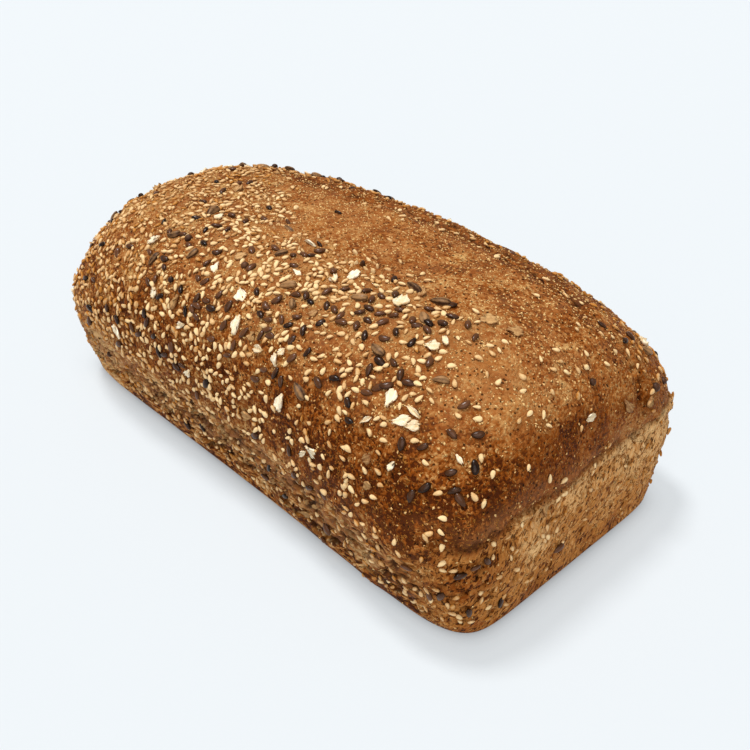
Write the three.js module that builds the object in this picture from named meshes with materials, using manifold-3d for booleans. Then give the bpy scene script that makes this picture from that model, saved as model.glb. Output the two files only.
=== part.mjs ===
// A seeded whole wheat tin loaf, in millimetres.
// X runs along the loaf, Z is up, and the origin is the middle of the flat base.

import * as THREE from "three";
import Module from "manifold-3d";
import { MeshSurfaceSampler } from "three/addons/math/MeshSurfaceSampler.js";
import { mergeVertices } from "three/addons/utils/BufferGeometryUtils.js";

// Sizes of the bare loaf
const LENGTH = 240;
const WIDTH = 131;
const HEIGHT = 88.5;
const WALL_HEIGHT = 36.5; // the sides that were baked against the tin
const FOOT_WIDTH = 112; // the tin is narrower at its bottom
const FOOT_RADIUS = 2.5;

// Form of the slices, each a rounded rectangle
const DOME_POWER = 3.1; // 2 is an elliptical dome, more is fuller at the shoulders
const END_DROP = 0.95; // how far the ends draw in, against the long sides
const WALL_SQUARENESS = 10;
const CROWN_SQUARENESS = 3.1;
const RIDGE_SQUARENESS = 1; // spreads the points of the crown's ridge evenly
const SQUARENESS_FALL = 2.2; // how fast the corners round off towards the crown
const WIDTH_SLOPE = 0.034; // the +X end is wider
const HEIGHT_SLOPE = -0.02; // and lower
const BEND = -1.3; // both ends swing to the -Y side

// Relief of the crust, which fades out just above the base
const BASE_BLEND = 6;
const SWELL = 0.9; // slow unevenness of the risen dough
const SWELL_LENGTH = 145; // from crest to crest
const LUMP = 0.45; // shorter lumps on top of it
const LUMP_LENGTH = 36;
const CREASE_DEPTH = 1.5; // furrow round both ends, where the top crust meets the wall
const CREASE_HALF_WIDTH = 4;
const SHRED_HEIGHT = 10; // torn line along the long sides
const SHRED_DEPTH = 1.3;
const SHRED_LENGTH = 25;
const SHRED_HALF_WIDTH = 4;
const CRACK_Y = 33; // split along the back shoulder
const CRACK_START_X = -25;
const CRACK_DEPTH = 1.6;
const CRACK_HALF_WIDTH = 4;
const DIP_CENTRE = [38, 37]; // hollow in the back shoulder
const DIP_DEPTH = 1;
const DIP_RADIUS = 22;

// Fineness of the crust's mesh
const RING_POINTS = 84;
const LEVELS = 23;
const PROFILE_SAMPLES = 400;

// Where toppings lie: a bare band runs along the top, and the +X end has few
const LOWEST_TOPPING = 7;
const BARE_BAND_Y = [-14, 20];
const BARE_BAND_START_X = -45;
const BARE_BAND_LOWEST = 72;
const BARE_SHARE = 0.04; // of the toppings elsewhere
const THIN_FROM_X = 70;
const THIN_SHARE = 0.4;
const END_WALL_X = 112;
const END_WALL_SHARE = 0.06;

// Each kind of topping, largest first: its size, how many, and the clear space round each
const TOPPINGS = [
  { size: [8.6, 4.2, 2.8], count: 28, apart: 22, shape: kernelGeometry() },
  { size: [7.4, 5.2, 1.4], count: 30, apart: 15, shape: flakeGeometry() },
  { size: [4.8, 2.5, 1.7], count: 62, apart: 9.5, shape: kernelGeometry() },
];
const RAISED_SHARE = 0.1; // a topping's middle is this share of its thickness above the crust
const THINNEST_TRIANGLE = 0.005; // a topping that would leave a thinner sliver lies elsewhere
const RANDOM_SEED = 20;

const lerp = THREE.MathUtils.lerp;
const smoothstep = THREE.MathUtils.smoothstep;

// Repeatable random numbers from 0 to 1
function seededRandom(seed) {
  let state = seed;
  return () => {
    state = (state + 0x6d2b79f5) | 0;
    let mixed = Math.imul(state ^ (state >>> 15), 1 | state);
    mixed = (mixed + Math.imul(mixed ^ (mixed >>> 7), 61 | mixed)) ^ mixed;
    return ((mixed ^ (mixed >>> 14)) >>> 0) / 4294967296;
  };
}

// Horizontal slice of the tin wall, with share 0 at the base and 1 at its top
function wallSlice(share) {
  const height = WALL_HEIGHT * share;
  const below = Math.max(0, FOOT_RADIUS - height);
  const inset = FOOT_RADIUS - Math.sqrt(FOOT_RADIUS ** 2 - below ** 2);
  return {
    halfLength: LENGTH / 2 - inset,
    halfWidth: lerp(FOOT_WIDTH, WIDTH, share) / 2 - inset,
    squareness: WALL_SQUARENESS,
    height,
    rise: 0,
  };
}

// Horizontal slice of the dome, with share 0 on the wall and 1 at the crown
function domeSlice(share) {
  const angle = (share * Math.PI) / 2;
  const across = Math.max(0, Math.cos(angle)) ** (2 / DOME_POWER);
  const rise = Math.sin(angle) ** (2 / DOME_POWER);
  const fall = Math.max(0, 1 - rise) ** SQUARENESS_FALL;
  const atRidge = share === 1;
  return {
    halfLength: LENGTH / 2 - (END_DROP * WIDTH * (1 - across)) / 2,
    halfWidth: atRidge ? 0 : (WIDTH / 2) * across,
    squareness: atRidge ? RIDGE_SQUARENESS : lerp(CROWN_SQUARENESS, WALL_SQUARENESS, fall),
    height: lerp(WALL_HEIGHT, HEIGHT, rise),
    rise,
  };
}

// Slices at equal steps up the side and over the top, from the base to the crown
function evenSlices() {
  const samples = [];
  for (let i = 0; i <= PROFILE_SAMPLES; i++) {
    samples.push(wallSlice(i / PROFILE_SAMPLES));
  }
  for (let i = 1; i <= PROFILE_SAMPLES; i++) {
    samples.push(domeSlice(i / PROFILE_SAMPLES));
  }
  const travelled = [0];
  for (let i = 1; i < samples.length; i++) {
    const sideways = samples[i].halfWidth - samples[i - 1].halfWidth;
    const upwards = samples[i].height - samples[i - 1].height;
    travelled.push(travelled[i - 1] + Math.hypot(sideways, upwards));
  }
  const whole = travelled[travelled.length - 1];
  const slices = [];
  for (let level = 0; level < LEVELS; level++) {
    const goal = (whole * level) / LEVELS;
    slices.push(samples[travelled.findIndex((distance) => distance >= goal)]);
  }
  slices.push(samples[samples.length - 1]);
  return slices;
}

// Directions to points spread evenly round a LENGTH by WIDTH rectangle, each within -1 to 1
function ringDirections() {
  const perimeter = 2 * (LENGTH + WIDTH);
  const directions = [];
  for (let i = 0; i < RING_POINTS; i++) {
    let walk = (perimeter * i) / RING_POINTS + WIDTH / 2;
    if (walk >= perimeter) walk -= perimeter;
    if (walk < WIDTH) {
      directions.push([1, (2 * walk) / WIDTH - 1]);
    } else if (walk < WIDTH + LENGTH) {
      directions.push([1 - (2 * (walk - WIDTH)) / LENGTH, 1]);
    } else if (walk < 2 * WIDTH + LENGTH) {
      directions.push([-1, 1 - (2 * (walk - WIDTH - LENGTH)) / WIDTH]);
    } else {
      directions.push([(2 * (walk - 2 * WIDTH - LENGTH)) / LENGTH - 1, -1]);
    }
  }
  return directions;
}

// Point of one slice in one direction, with the loaf's wider and lower +X end
function loafPoint(slice, [along, across]) {
  const power = slice.squareness;
  const reach = (Math.abs(along) ** power + Math.abs(across) ** power) ** (-1 / power);
  const x = slice.halfLength * along * reach;
  const share = x / (LENGTH / 2);
  const y = slice.halfWidth * across * reach * (1 + WIDTH_SLOPE * share) + BEND * share ** 2;
  const lift = slice.rise * HEIGHT_SLOPE * share * (HEIGHT - WALL_HEIGHT);
  return [x, y, slice.height + lift];
}

// How far the crust stands out of, or lies below, the smooth form at a point
function relief({ x, y, z }) {
  const wave = (distance, length) => Math.sin((2 * Math.PI * distance) / length);
  const bump = (distance, halfWidth) => Math.exp(-((distance / halfWidth) ** 2));
  const swell = wave(x + 18, SWELL_LENGTH) * wave(y + 20, SWELL_LENGTH) + wave(x - 2 * z, 230);
  const lump = wave(x + y / 2, LUMP_LENGTH) * wave(z + y - x / 2, LUMP_LENGTH);
  const atEnds = smoothstep(Math.abs(x), 0.8 * (LENGTH / 2), 0.97 * (LENGTH / 2));
  const crease = atEnds * bump(z - WALL_HEIGHT, CREASE_HALF_WIDTH);
  const torn = (wave(x, SHRED_LENGTH) + wave(x + z, SHRED_LENGTH / 1.8)) / 2;
  const shred = (1 - atEnds) * torn * bump(z - SHRED_HEIGHT, SHRED_HALF_WIDTH);
  const onTop = smoothstep(z, WALL_HEIGHT, WALL_HEIGHT + 20);
  const split = smoothstep(x, CRACK_START_X, CRACK_START_X + 20) * onTop;
  const crack = split * bump(y - CRACK_Y - 3 * wave(x, 130), CRACK_HALF_WIDTH);
  const dip = onTop * bump(Math.hypot(x - DIP_CENTRE[0], y - DIP_CENTRE[1]), DIP_RADIUS);
  const raised = SWELL * swell + LUMP * lump + SHRED_DEPTH * shred;
  const sunk = CREASE_DEPTH * crease + CRACK_DEPTH * crack + DIP_DEPTH * dip;
  return (raised - sunk) * smoothstep(z, 0, BASE_BLEND);
}

// Closed crust: rings joined into bands, over a base of triangles that meet in its middle
function crustGeometry() {
  const directions = ringDirections();
  const positions = [];
  for (const slice of evenSlices()) {
    for (const direction of directions) positions.push(...loafPoint(slice, direction));
  }
  const middle = positions.length / 3;
  positions.push(0, 0, 0);
  const triangles = [];
  for (let i = 0; i < RING_POINTS; i++) {
    const next = (i + 1) % RING_POINTS;
    triangles.push(middle, next, i);
    for (let level = 0; level < LEVELS; level++) {
      const low = level * RING_POINTS;
      const high = low + RING_POINTS;
      triangles.push(low + i, low + next, high + next);
      triangles.push(low + i, high + next, high + i);
    }
  }
  const geometry = new THREE.BufferGeometry();
  geometry.setAttribute("position", new THREE.Float32BufferAttribute(positions, 3));
  geometry.setIndex(triangles);
  return mergeVertices(geometry);
}

// Moves each point of the crust out along its normal by the relief there
function raiseRelief(geometry) {
  geometry.computeVertexNormals();
  const position = geometry.getAttribute("position");
  const normal = geometry.getAttribute("normal");
  const point = new THREE.Vector3();
  const outward = new THREE.Vector3();
  for (let i = 0; i < position.count; i++) {
    point.fromBufferAttribute(position, i);
    outward.fromBufferAttribute(normal, i);
    point.addScaledVector(outward, relief(point));
    position.setXYZ(i, point.x, point.y, point.z);
  }
  geometry.computeVertexNormals();
  return geometry;
}

// Seed or kernel with two pointed ends, 1 by 1 by 1
function kernelGeometry() {
  return new THREE.SphereGeometry(0.5, 6, 3).rotateZ(Math.PI / 2);
}

// Rolled grain, a thin disc with few sides, 1 by 1 by 1
function flakeGeometry() {
  return new THREE.CylinderGeometry(0.5, 0.5, 1, 7).rotateX(Math.PI / 2);
}

// Share of the toppings that stay where they fall at a point, from 0 to 1
function toppedShare({ x, y, z }) {
  if (z < LOWEST_TOPPING) return 0;
  if (x > END_WALL_X && z < WALL_HEIGHT + CREASE_HALF_WIDTH) return END_WALL_SHARE;
  const inBand = y > BARE_BAND_Y[0] && y < BARE_BAND_Y[1];
  if (inBand && x > BARE_BAND_START_X && z > BARE_BAND_LOWEST) return BARE_SHARE;
  return x > THIN_FROM_X ? THIN_SHARE : 1;
}

const wasm = await Module();
wasm.setup();

// Solid of a closed geometry
function solidOf(geometry) {
  const bare = geometry.clone();
  bare.deleteAttribute("normal");
  bare.deleteAttribute("uv");
  const merged = mergeVertices(bare);
  const vertProperties = new Float32Array(merged.getAttribute("position").array);
  const triVerts = new Uint32Array(merged.getIndex().array);
  return new wasm.Manifold(new wasm.Mesh({ numProp: 3, vertProperties, triVerts }));
}

// Smallest height of any triangle of a solid, measured from its longest edge
function thinnestTriangle(solid) {
  const { vertProperties, triVerts } = solid.getMesh();
  const triangle = new THREE.Triangle();
  const corners = [triangle.a, triangle.b, triangle.c];
  let thinnest = Infinity;
  for (let i = 0; i < triVerts.length; i += 3) {
    corners.forEach((corner, j) => corner.fromArray(vertProperties, 3 * triVerts[i + j]));
    const { a, b, c } = triangle;
    const longest = Math.max(a.distanceTo(b), b.distanceTo(c), c.distanceTo(a));
    thinnest = Math.min(thinnest, (2 * triangle.getArea()) / longest);
  }
  return thinnest;
}

// Crust with its toppings joined to it, scattered, lying flat and half sunk
function toppedSolid(crust) {
  const random = seededRandom(RANDOM_SEED);
  const sampler = new MeshSurfaceSampler(new THREE.Mesh(crust));
  sampler.setRandomGenerator(random).build();
  const spots = [];
  const point = new THREE.Vector3();
  const outward = new THREE.Vector3();
  const up = new THREE.Vector3(0, 0, 1);
  let solid = solidOf(crust);
  for (const { size, count, apart, shape } of TOPPINGS) {
    let placed = 0;
    while (placed < count) {
      sampler.sample(point, outward);
      const stays = random() < toppedShare(point);
      const turn = random() * Math.PI * 2;
      if (!stays || spots.some((spot) => spot.distanceTo(point) < apart)) continue;
      const lie = new THREE.Quaternion().setFromUnitVectors(up, outward);
      lie.multiply(new THREE.Quaternion().setFromAxisAngle(up, turn));
      const centre = point.clone().addScaledVector(outward, RAISED_SHARE * size[2]);
      const place = new THREE.Matrix4().compose(centre, lie, new THREE.Vector3(...size));
      const joined = solid.add(solidOf(shape.clone().applyMatrix4(place)));
      if (thinnestTriangle(joined) < THINNEST_TRIANGLE) continue;
      solid = joined;
      spots.push(point.clone());
      placed += 1;
    }
  }
  return solid;
}

// Geometry of a solid, moved so that the middle of its base is the origin
function geometryOf(solid) {
  const { vertProperties, triVerts } = solid.getMesh();
  const geometry = new THREE.BufferGeometry();
  geometry.setAttribute("position", new THREE.Float32BufferAttribute(vertProperties, 3));
  geometry.setIndex(new THREE.Uint32BufferAttribute(triVerts, 1));
  geometry.computeBoundingBox();
  const { min, max } = geometry.boundingBox;
  geometry.translate(-(min.x + max.x) / 2, -(min.y + max.y) / 2, -min.z);
  geometry.computeVertexNormals();
  return geometry;
}

const loafSolid = toppedSolid(raiseRelief(crustGeometry()));
const crustMaterial = new THREE.MeshStandardMaterial({
  color: 0x976738,
  roughness: 0.85,
  metalness: 0,
});
const loaf = new THREE.Mesh(geometryOf(loafSolid), crustMaterial);
loaf.name = "loaf";

const part = new THREE.Group();
part.add(loaf);

export default part;
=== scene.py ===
"""A seeded whole wheat tin loaf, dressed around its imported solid.

The crust is one mesh pressed out to the loaf's form, with its relief and baked zones worked out
point by point. Each kind of topping is one joined mesh that lies on that crust.
"""

import math

import bpy
import numpy as np
from bpy.props import FloatProperty, IntProperty, PointerProperty, StringProperty
from mathutils import Matrix, Vector, noise
from mathutils.bvhtree import BVHTree
from mathutils.kdtree import KDTree


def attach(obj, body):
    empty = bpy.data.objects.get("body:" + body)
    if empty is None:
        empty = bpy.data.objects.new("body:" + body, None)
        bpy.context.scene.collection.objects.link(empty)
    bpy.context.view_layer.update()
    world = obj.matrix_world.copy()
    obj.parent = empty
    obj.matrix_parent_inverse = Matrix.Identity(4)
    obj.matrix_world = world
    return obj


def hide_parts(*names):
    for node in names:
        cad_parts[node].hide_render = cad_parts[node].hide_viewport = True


bl_info = {
    "name": "Seeded whole wheat loaf",
    "version": (1, 0, 0),
    "blender": (4, 5, 0),
    "location": "View3D > Sidebar > Loaf",
    "description": "Bakes a seeded tin loaf on its packed solid and sets a pale studio round it",
    "category": "Add Mesh",
}

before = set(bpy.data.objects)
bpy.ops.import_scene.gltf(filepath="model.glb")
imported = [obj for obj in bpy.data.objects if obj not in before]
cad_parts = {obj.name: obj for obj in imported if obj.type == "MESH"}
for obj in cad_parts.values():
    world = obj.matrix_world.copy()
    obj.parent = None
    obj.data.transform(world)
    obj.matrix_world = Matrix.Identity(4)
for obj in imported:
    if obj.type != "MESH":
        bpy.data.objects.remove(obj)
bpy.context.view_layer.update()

MM = 0.001
BODY = "root"
NODE = "loaf"

# Form of the loaf, in millimetres and as in the solid
LENGTH = 240.0
WIDTH = 131.0
HEIGHT = 88.5
WALL_HEIGHT = 36.5
FOOT_WIDTH = 112.0
FOOT_RADIUS = 2.5
DOME_POWER = 3.1
END_DROP = 0.95
WALL_SQUARENESS = 10.0
CROWN_SQUARENESS = 3.1
SQUARENESS_FALL = 2.2
WIDTH_SLOPE = 0.034
HEIGHT_SLOPE = -0.02
BEND = -1.3
SETTLED = np.array((0.6, 0.8, 0.0))  # the solid's box is centred, which moves the form by this much

# Search for the form's surface: how far out it starts, as a share of the ray, and how often it is halved
PRESS_REACH = 1.2
PRESS_HALVINGS = 40

# Relief of the crust that the solid has too, in millimetres
BASE_BLEND = 6.0
SWELL = 0.9
SWELL_LENGTH = 145.0
SWELL_SHIFT_X = 18.0
SWELL_SHIFT_Y = 20.0
LONG_SWELL_LENGTH = 230.0
LUMP = 0.45
LUMP_LENGTH = 36.0
CREASE_DEPTH = 1.5
CREASE_HALF_WIDTH = 4.0
SHRED_HEIGHT = 10.0
SHRED_DEPTH = 1.3
SHRED_LENGTH = 25.0
SHORT_SHRED_LENGTH = SHRED_LENGTH / 1.8
SHRED_HALF_WIDTH = 4.0
CRACK_Y = 33.0
CRACK_SWAY = 3.0
CRACK_SWAY_LENGTH = 130.0
CRACK_START_X = -25.0
CRACK_FADE = 20.0
CRACK_DEPTH = 1.6
CRACK_HALF_WIDTH = 4.0
DIP_CENTRE = (38.0, 37.0)
DIP_DEPTH = 1.0
DIP_RADIUS = 22.0
TOP_BLEND = 20.0

# Where the end faces start and are full, as shares of half the loaf's length
END_START = 0.8
END_FULL = 0.97

# Sizes of the uneven patches of browning and of the clumps of seeds, in millimetres
ZONE_PATCH = 22.0
SMALL_PATCH = 9.0
CLUMP = 8.0

# Torn edge of the top crust on the end faces, and how the tin walls fade out there and along the loaf, in mm
EDGE_HEIGHT = 42.0
EDGE_SWAY = 1.5
EDGE_SWAY_LENGTH = 43.0
EDGE_FADE = (-1.6, 1.6)
EDGE_UNEVEN = 2.0
WALL_FADE = (-9.0, 4.0)
WALL_UNEVEN = 3.0

# Level bands of the crust: middle and half width, in millimetres
BANDS = {
    "foot": (0.0, 11.0),
    "belt": (25.0, 11.0),
    "corner": (34.0, 22.0),
    "shoulder": (52.0, 14.0),
    "rim": (61.0, 9.0),
    "front_top": (82.0, 13.0),
}

# Bands that follow the torn edge of the top crust, above it or below it, in the same way
EDGE_BANDS = {
    "lip": (-2.5, 2.0),
    "crease": (4.0, 5.0),
}

# Zones of the crust, in mm: places between which each fades in and, where there are four, out again
CRUST_ZONES = {
    "near_shoulder": {"x": (-100.0, 30.0)},
    "back_corner": {"x": (80.0, 110.0), "y": (-20.0, 30.0)},
    "front_top": {"y": (-8.0, -22.0)},
    "near_top": {"x": (-20.0, 50.0)},
    "corner": {"x": (80.0, 110.0), "y": (-30.0, -50.0)},
    "behind": {"x": (110.0, 75.0)},
    "rim": {"x": (104.0, 114.0), "y": (-52.0, -40.0, -12.0, 12.0)},
    "late": {"x": (-10.0, 30.0), "y": (-25.0, -5.0), "z": (60.0, 75.0)},
    "far": {"x": (-40.0, -90.0)},
    "crown": {"z": (62.0, 76.0)},
    "front": {"x": (-110.0, -90.0, 90.0, 110.0), "y": (-35.0, -55.0)},
    "near_front": {"x": (-95.0, -50.0)},
    "rough_front": {"y": (-25.0, -50.0)},
    "rough_far": {"x": (-20.0, -60.0)},
    "rift": {"x": (40.0, 60.0, 88.0, 100.0), "y": (10.0, 20.0)},
}

# Where the browning behind the split starts and is full, from the split's middle line, in millimetres
BEHIND_SPLIT = (-12.0, -3.0)

# How much browner each zone is baked, from 0 for the palest crust to 1 for the darkest: end_height is per
# mm, and with end_face it darkens the end faces towards the foot as painted shade
BROWNING = {
    "whole": 0.46, "uneven": 0.1, "patchy": 0.11, "shoulder": 0.24, "front_top": -0.11, "corner": 0.38,
    "foot": 0.36, "end_foot": -0.2, "behind": 0.34, "late": 0.09, "rim": 0.14, "tin": -0.06, "far_tin": -0.2,
    "end_face": 0.11, "end_height": -0.005, "lip": -0.1, "front": 0.14, "front_patchy": 0.1}

# How strongly the grain shows in each zone, and how grey the bloom is: in the crease partly bloom, partly
# painted shade
GRAININESS = {
    "whole": 0.9, "rough": 0.5, "front_top": -0.4, "end_face": -0.4, "long_side": 0.9, "late": 0.35}
BLOOM = {"belt": 0.8, "crease": 0.4, "crown": 0.25}
BLOOM_MOST = 0.8

# Fine relief of the crust: sizes of its lumps, spacing of its holes, heights and depths, in millimetres
COARSE_GRAIN = 5.0
FINE_GRAIN = 2.2
PORE_SPACING = 3.2
HOLE_SPACING = 3.4
STRATUM = 2.4
RAG = 2.2
RAG_HEIGHT = 1.6
LIP_LUMP = 2.5
FRAY = 2.0
FURROW_DEPTH = 1.1
RELIEF_FADE = (3.0, 9.0)
PIT_FADE = (4.0, 7.0)

# Torn line low on the long sides: how far it lies above the solid's, how it sways, and its width, in mm
TORN_LINE_RISE = 2.0
TORN_LINE_SWAY = 2.0
TORN_LINE_SWAY_LENGTH = 61.0
TORN_LINE_HALF_WIDTH = 3.5

# Torn strip behind the split: where it lies, as zone and as band from the split's line, in millimetres
TORN_STRIP_ZONE = {"x": (-75.0, -55.0, 55.0, 75.0), "z": (WALL_HEIGHT, WALL_HEIGHT + TOP_BLEND)}
TORN_STRIP_BAND = (4.0, 9.0)

# Bands of crags, by height, and of furrow and lip, from the frayed edge: middle and half width, in mm
CRAGS_BAND = (23.0, 11.0)
FURROW_BAND = (1.0, 1.3)
FRAYED_LIP_BAND = (-2.0, 1.8)

# How pores are drawn out along and across their slant, and the rest along X, Y and Z: the lower the longer
PORE_ALONG = 0.45
PORE_ACROSS = 0.71
STRATA_DRAWN = (0.3, 0.3, 1.0)
HOLES_DRAWN = (0.6, 0.6, 1.0)
RAGS_DRAWN = (0.35, 1.0, 1.0)

# Shifts that keep one pattern of lumps or cells from following another, in millimetres
PATCH_SHIFT = 60.0
HOLE_SHIFT = 30.0
RAG_SHIFT = 40.0

# How dark the shade painted into each kind of hollow is, from 0 for none to 1 for the shade colour
PIT_SHADES = {"pores": 0.6, "holes": 0.85, "crags": 0.85, "rags": 0.7, "furrow": 0.45}
PIT_MOST = 0.92

# Zones of the seeding, given like the crust's
SEED_ZONES = {
    "far_limit": {"x": (-5.0, -80.0)},
    "far": {"x": (-20.0, -60.0)},
    "near": {"x": (68.0, 95.0)},
    "near_top": {"x": (68.0, 95.0), "z": (25.0, 50.0)},
    "back": {"y": (26.0, 42.0)},
    "strip": {"x": (-60.0, -30.0, 40.0, 65.0)},
    "near_bare": {"x": (85.0, 105.0)},
    "low_front": {"x": (0.0, 40.0), "y": (-46.0, -58.0)},
    "wall": {"x": (100.0, 60.0), "z": (46.0, 32.0)},
    "far_wall": {"x": (-30.0, -70.0)},
    "foot": {"z": (4.0, 12.0)},
    "near_face": {"x": (114.0, 118.0)},
}

# Zones that matter to one kind of topping only, in the same way
LINSEED_RIDGE = {"x": (-70.0, -50.0, 50.0, 70.0), "z": (50.0, 65.0)}
TOASTED_AND_SHADED_FAR = {"x": (-20.0, -80.0)}
TOASTED_LOW = {"z": (42.0, 30.0)}
BRAN_ABOVE_FOOT = {"z": (1.0, 8.0)}
BRAN_CROWN = {"z": (62.0, 78.0)}
BRAN_DULL = {"z": (76.0, 62.0)}

# Rows of seeds along the loaf, as middle and half width in Y, and a heap of them in X, in millimetres
STRIP_BAND = (-27.0, 9.0)
RIDGE_BAND = (47.0, 7.0)
HEAP_BAND = (-50.0, 32.0)

# Back limit of the thick seeding, in mm: its place at the near end, gain towards the far end, and blend
SEED_LIMIT = -13.0
SEED_LIMIT_GAIN = 41.0
SEED_LIMIT_BLEND = 8.0

# How thickly seeds lie in the front, in the back and on the bare top, by zone
FRONT_SEEDING = {"whole": 1.0, "heap": 0.5, "near_top": -0.86, "strip": 1.7}
BACK_SEEDING = {"whole": 0.15, "far": 0.5, "near": 0.2}
BARE_SEEDING = {"whole": 0.02, "near_bare": 0.08}

# How much darker sesame seeds are in each zone, as toasting and, at the far end, partly as painted shade,
# and where those behind the split are, in mm from it
TOASTING_AND_SHADE = {"far": 0.36, "behind": 0.5, "low": 0.2}
TOASTED_BEHIND = (0.0, 8.0)

# The photograph's camera
IMAGE_SIDE = 750
FOCAL_PIXELS = 954.6
VIEW_AZIMUTH = 46.13
VIEW_ELEVATION = 32.62
VIEW_DISTANCE = 387.1
VIEW_TARGET = np.array((15.75, 4.26, 29.2))
SENSOR_WIDTH = 36.0

# Shadow painted into the floor's glow round the loaf's foot: share of the glow that it takes, and reach in
# millimetres
SHADE_DEPTH = 0.85
SHADE_REACH = 3.6

# How far out from the foot each ring of the floor lies, in millimetres
FLOOR_RINGS = (-20.0, 0.0, 1.0, 2.0, 3.5, 5.5, 8.0, 12.0, 20.0, 40.0, 3000.0)

# How far the crust right under a topping is darkened towards the shade colour, as painted shade, and how far
# round each kind it reaches, in millimetres
SEAT_SHADE_DEPTH = 0.3
FLAKE_SEAT_SHADE = 3.5
LINSEED_SEAT_SHADE = 2.4
SESAME_SEAT_SHADE = 1.8

# Width that a flake or a linseed keeps clear, thickness of flakes and husks, and where husks hang, in mm
FLAKE_CLEARANCE = 5.0
LINSEED_CLEARANCE = 4.0
FLAKE_THICKNESS = 0.9
HUSK_THICKNESS = 0.8
HUSK_BAND = (20.0, 5.0)
HUSK_LEAST_Y = 40.0

# Starting numbers of the random draws, one for each kind of topping
DRAWS = {
    "oat_flakes": 3, "wheat_flakes": 8, "husks": 10, "sunflower_kernels": 4,
    "linseeds": 5, "round_seeds": 9, "sesame_seeds": 6, "bran_flecks": 7}

# Sockets of a Mix node, for colours and for vectors
MIX_SHARE, MIX_FIRST, MIX_SECOND, MIX_RESULT = 0, 6, 7, 2
MIX_FIRST_VECTOR, MIX_SECOND_VECTOR, MIX_RESULT_VECTOR = 4, 5, 1

# Oat flakes that the photograph shows: column, row, heading in degrees, length and width in mm
OAT_FLAKES = {
    "fan": (402, 301, 60, 6.6, 5.4),
    "crown": (354, 276, 35, 6.8, 3.4),
    "crown_edge": (311, 244, 15, 6.4, 3.0),
    "sliver": (297, 273, -30, 4.8, 1.6),
    "curl": (334, 281, -60, 3.8, 3.0),
    "left_upper": (241, 295, -80, 6.4, 4.0),
    "left_lower": (237, 325, 70, 7.2, 3.6),
    "far_white": (219, 217, 30, 4.8, 3.2),
    "far_small": (216, 268, 60, 5.0, 2.4),
    "far_strip": (155, 241, 20, 6.6, 2.4),
    "far_chip": (155, 293, 80, 4.0, 2.6),
    "split": (432, 347, -15, 5.8, 3.0),
    "split_blade": (445, 342, -70, 4.4, 1.8),
    "leaf": (391, 398, 70, 6.2, 3.4),
    "heap_left": (401, 421, 5, 6.6, 3.2),
    "heap_right": (412, 426, 0, 6.0, 3.0),
    "heap_blade": (414, 412, -45, 6.2, 1.8),
    "sunk": (281, 403, 80, 6.2, 3.8),
    "edge_upper": (312, 452, -60, 5.8, 3.0),
    "edge_lower": (303, 453, 30, 4.4, 1.8),
    "row_first": (259, 349, -20, 4.8, 2.8),
    "row_second": (282, 352, 40, 3.4, 2.4),
    "row_third": (275, 360, -80, 4.8, 2.2),
    "twig": (366, 420, 30, 4.4, 1.4),
    "side_blade": (118, 332, -60, 6.8, 1.8),
    "side_rag": (189, 373, 70, 4.4, 2.6),
    "side_chip": (182, 325, 5, 4.8, 2.4),
    "shoulder_blade": (459, 459, -60, 4.0, 1.4),
    "shoulder_chip": (392, 466, 60, 3.6, 1.6),
    "near_chip": (590, 418, 40, 4.6, 2.4),
    "back_husk": (642, 344, -50, 5.0, 2.0),
}

# Browner wheat flakes that the photograph shows: the same values
WHEAT_FLAKES = {
    "flat_first": (488, 321, 0, 6.4, 4.4),
    "flat_second": (515, 332, -10, 5.6, 3.8),
    "husk": (422, 293, 60, 5.6, 3.0),
    "far_disc": (241, 257, 20, 5.0, 3.6),
    "far_grey": (238, 190, 30, 6.2, 3.0),
    "far_blade": (176, 303, 60, 6.6, 2.4),
    "shoulder": (367, 459, 20, 3.6, 3.0),
    "shoulder_low": (368, 486, -40, 3.4, 2.8),
    "left": (247, 415, -30, 4.6, 3.6),
    "left_low": (253, 337, 60, 3.6, 2.8),
    "front": (313, 314, 30, 3.6, 2.6),
    "near_disc": (649, 402, 70, 4.4, 3.4),
    "near_husk": (627, 406, -55, 7.6, 2.6),
    "near_edge": (545, 508, 45, 5.0, 2.4),
    "side_first": (205, 425, -35, 7.4, 1.8),
    "side_second": (306, 513, -40, 7.0, 1.8),
}

# Sunflower kernels that the photograph shows: column, row and heading in degrees
KERNELS = {
    "crown": (290, 229, 5),
    "crown_pale": (281, 254, 20),
    "long": (288, 286, 5),
    "upright": (293, 304, -80),
    "middle": (359, 299, -10),
    "far_upper": (213, 212, 30),
    "far_striped": (193, 255, 40),
    "far_tan": (154, 259, 60),
    "far_flat": (174, 236, 10),
    "striped": (377, 350, -50),
    "grey": (424, 318, -70),
    "golden": (441, 380, -5),
    "shoulder": (300, 391, -60),
    "leaf": (416, 287, -60),
    "dark_pair": (440, 303, -15),
    "back": (646, 351, -50),
}

# Round dark seeds that the photograph shows: column and row
ROUND_SEEDS = {
    "near": (654, 387),
    "near_back": (663, 381),
    "golden": (592, 382),
    "far": (189, 239),
    "far_low": (110, 354),
    "far_shoulder": (172, 280),
    "crown": (245, 266),
}

# Clusters of linseeds in the photograph: column, row, spread in mm and number
LINSEED_CLUSTERS = {
    "under_the_kernels": (315, 318, 6.5, 12),
    "left_of_them": (269, 320, 6.5, 9),
    "under_the_fan": (422, 325, 6.5, 12),
    "by_the_fan": (384, 322, 6.0, 8),
    "middle": (355, 308, 6.0, 7),
    "knot": (384, 374, 6.0, 6),
    "shoulder": (455, 455, 5.0, 3),
    "front": (420, 488, 9.0, 5),
    "left": (226, 333, 8.0, 8),
    "far": (197, 296, 7.0, 6),
    "far_crown": (185, 240, 9.0, 5),
    "crown": (307, 256, 4.0, 3),
    "dark_pair": (446, 306, 2.0, 3),
    "low_left": (270, 365, 8.0, 3),
}

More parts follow.
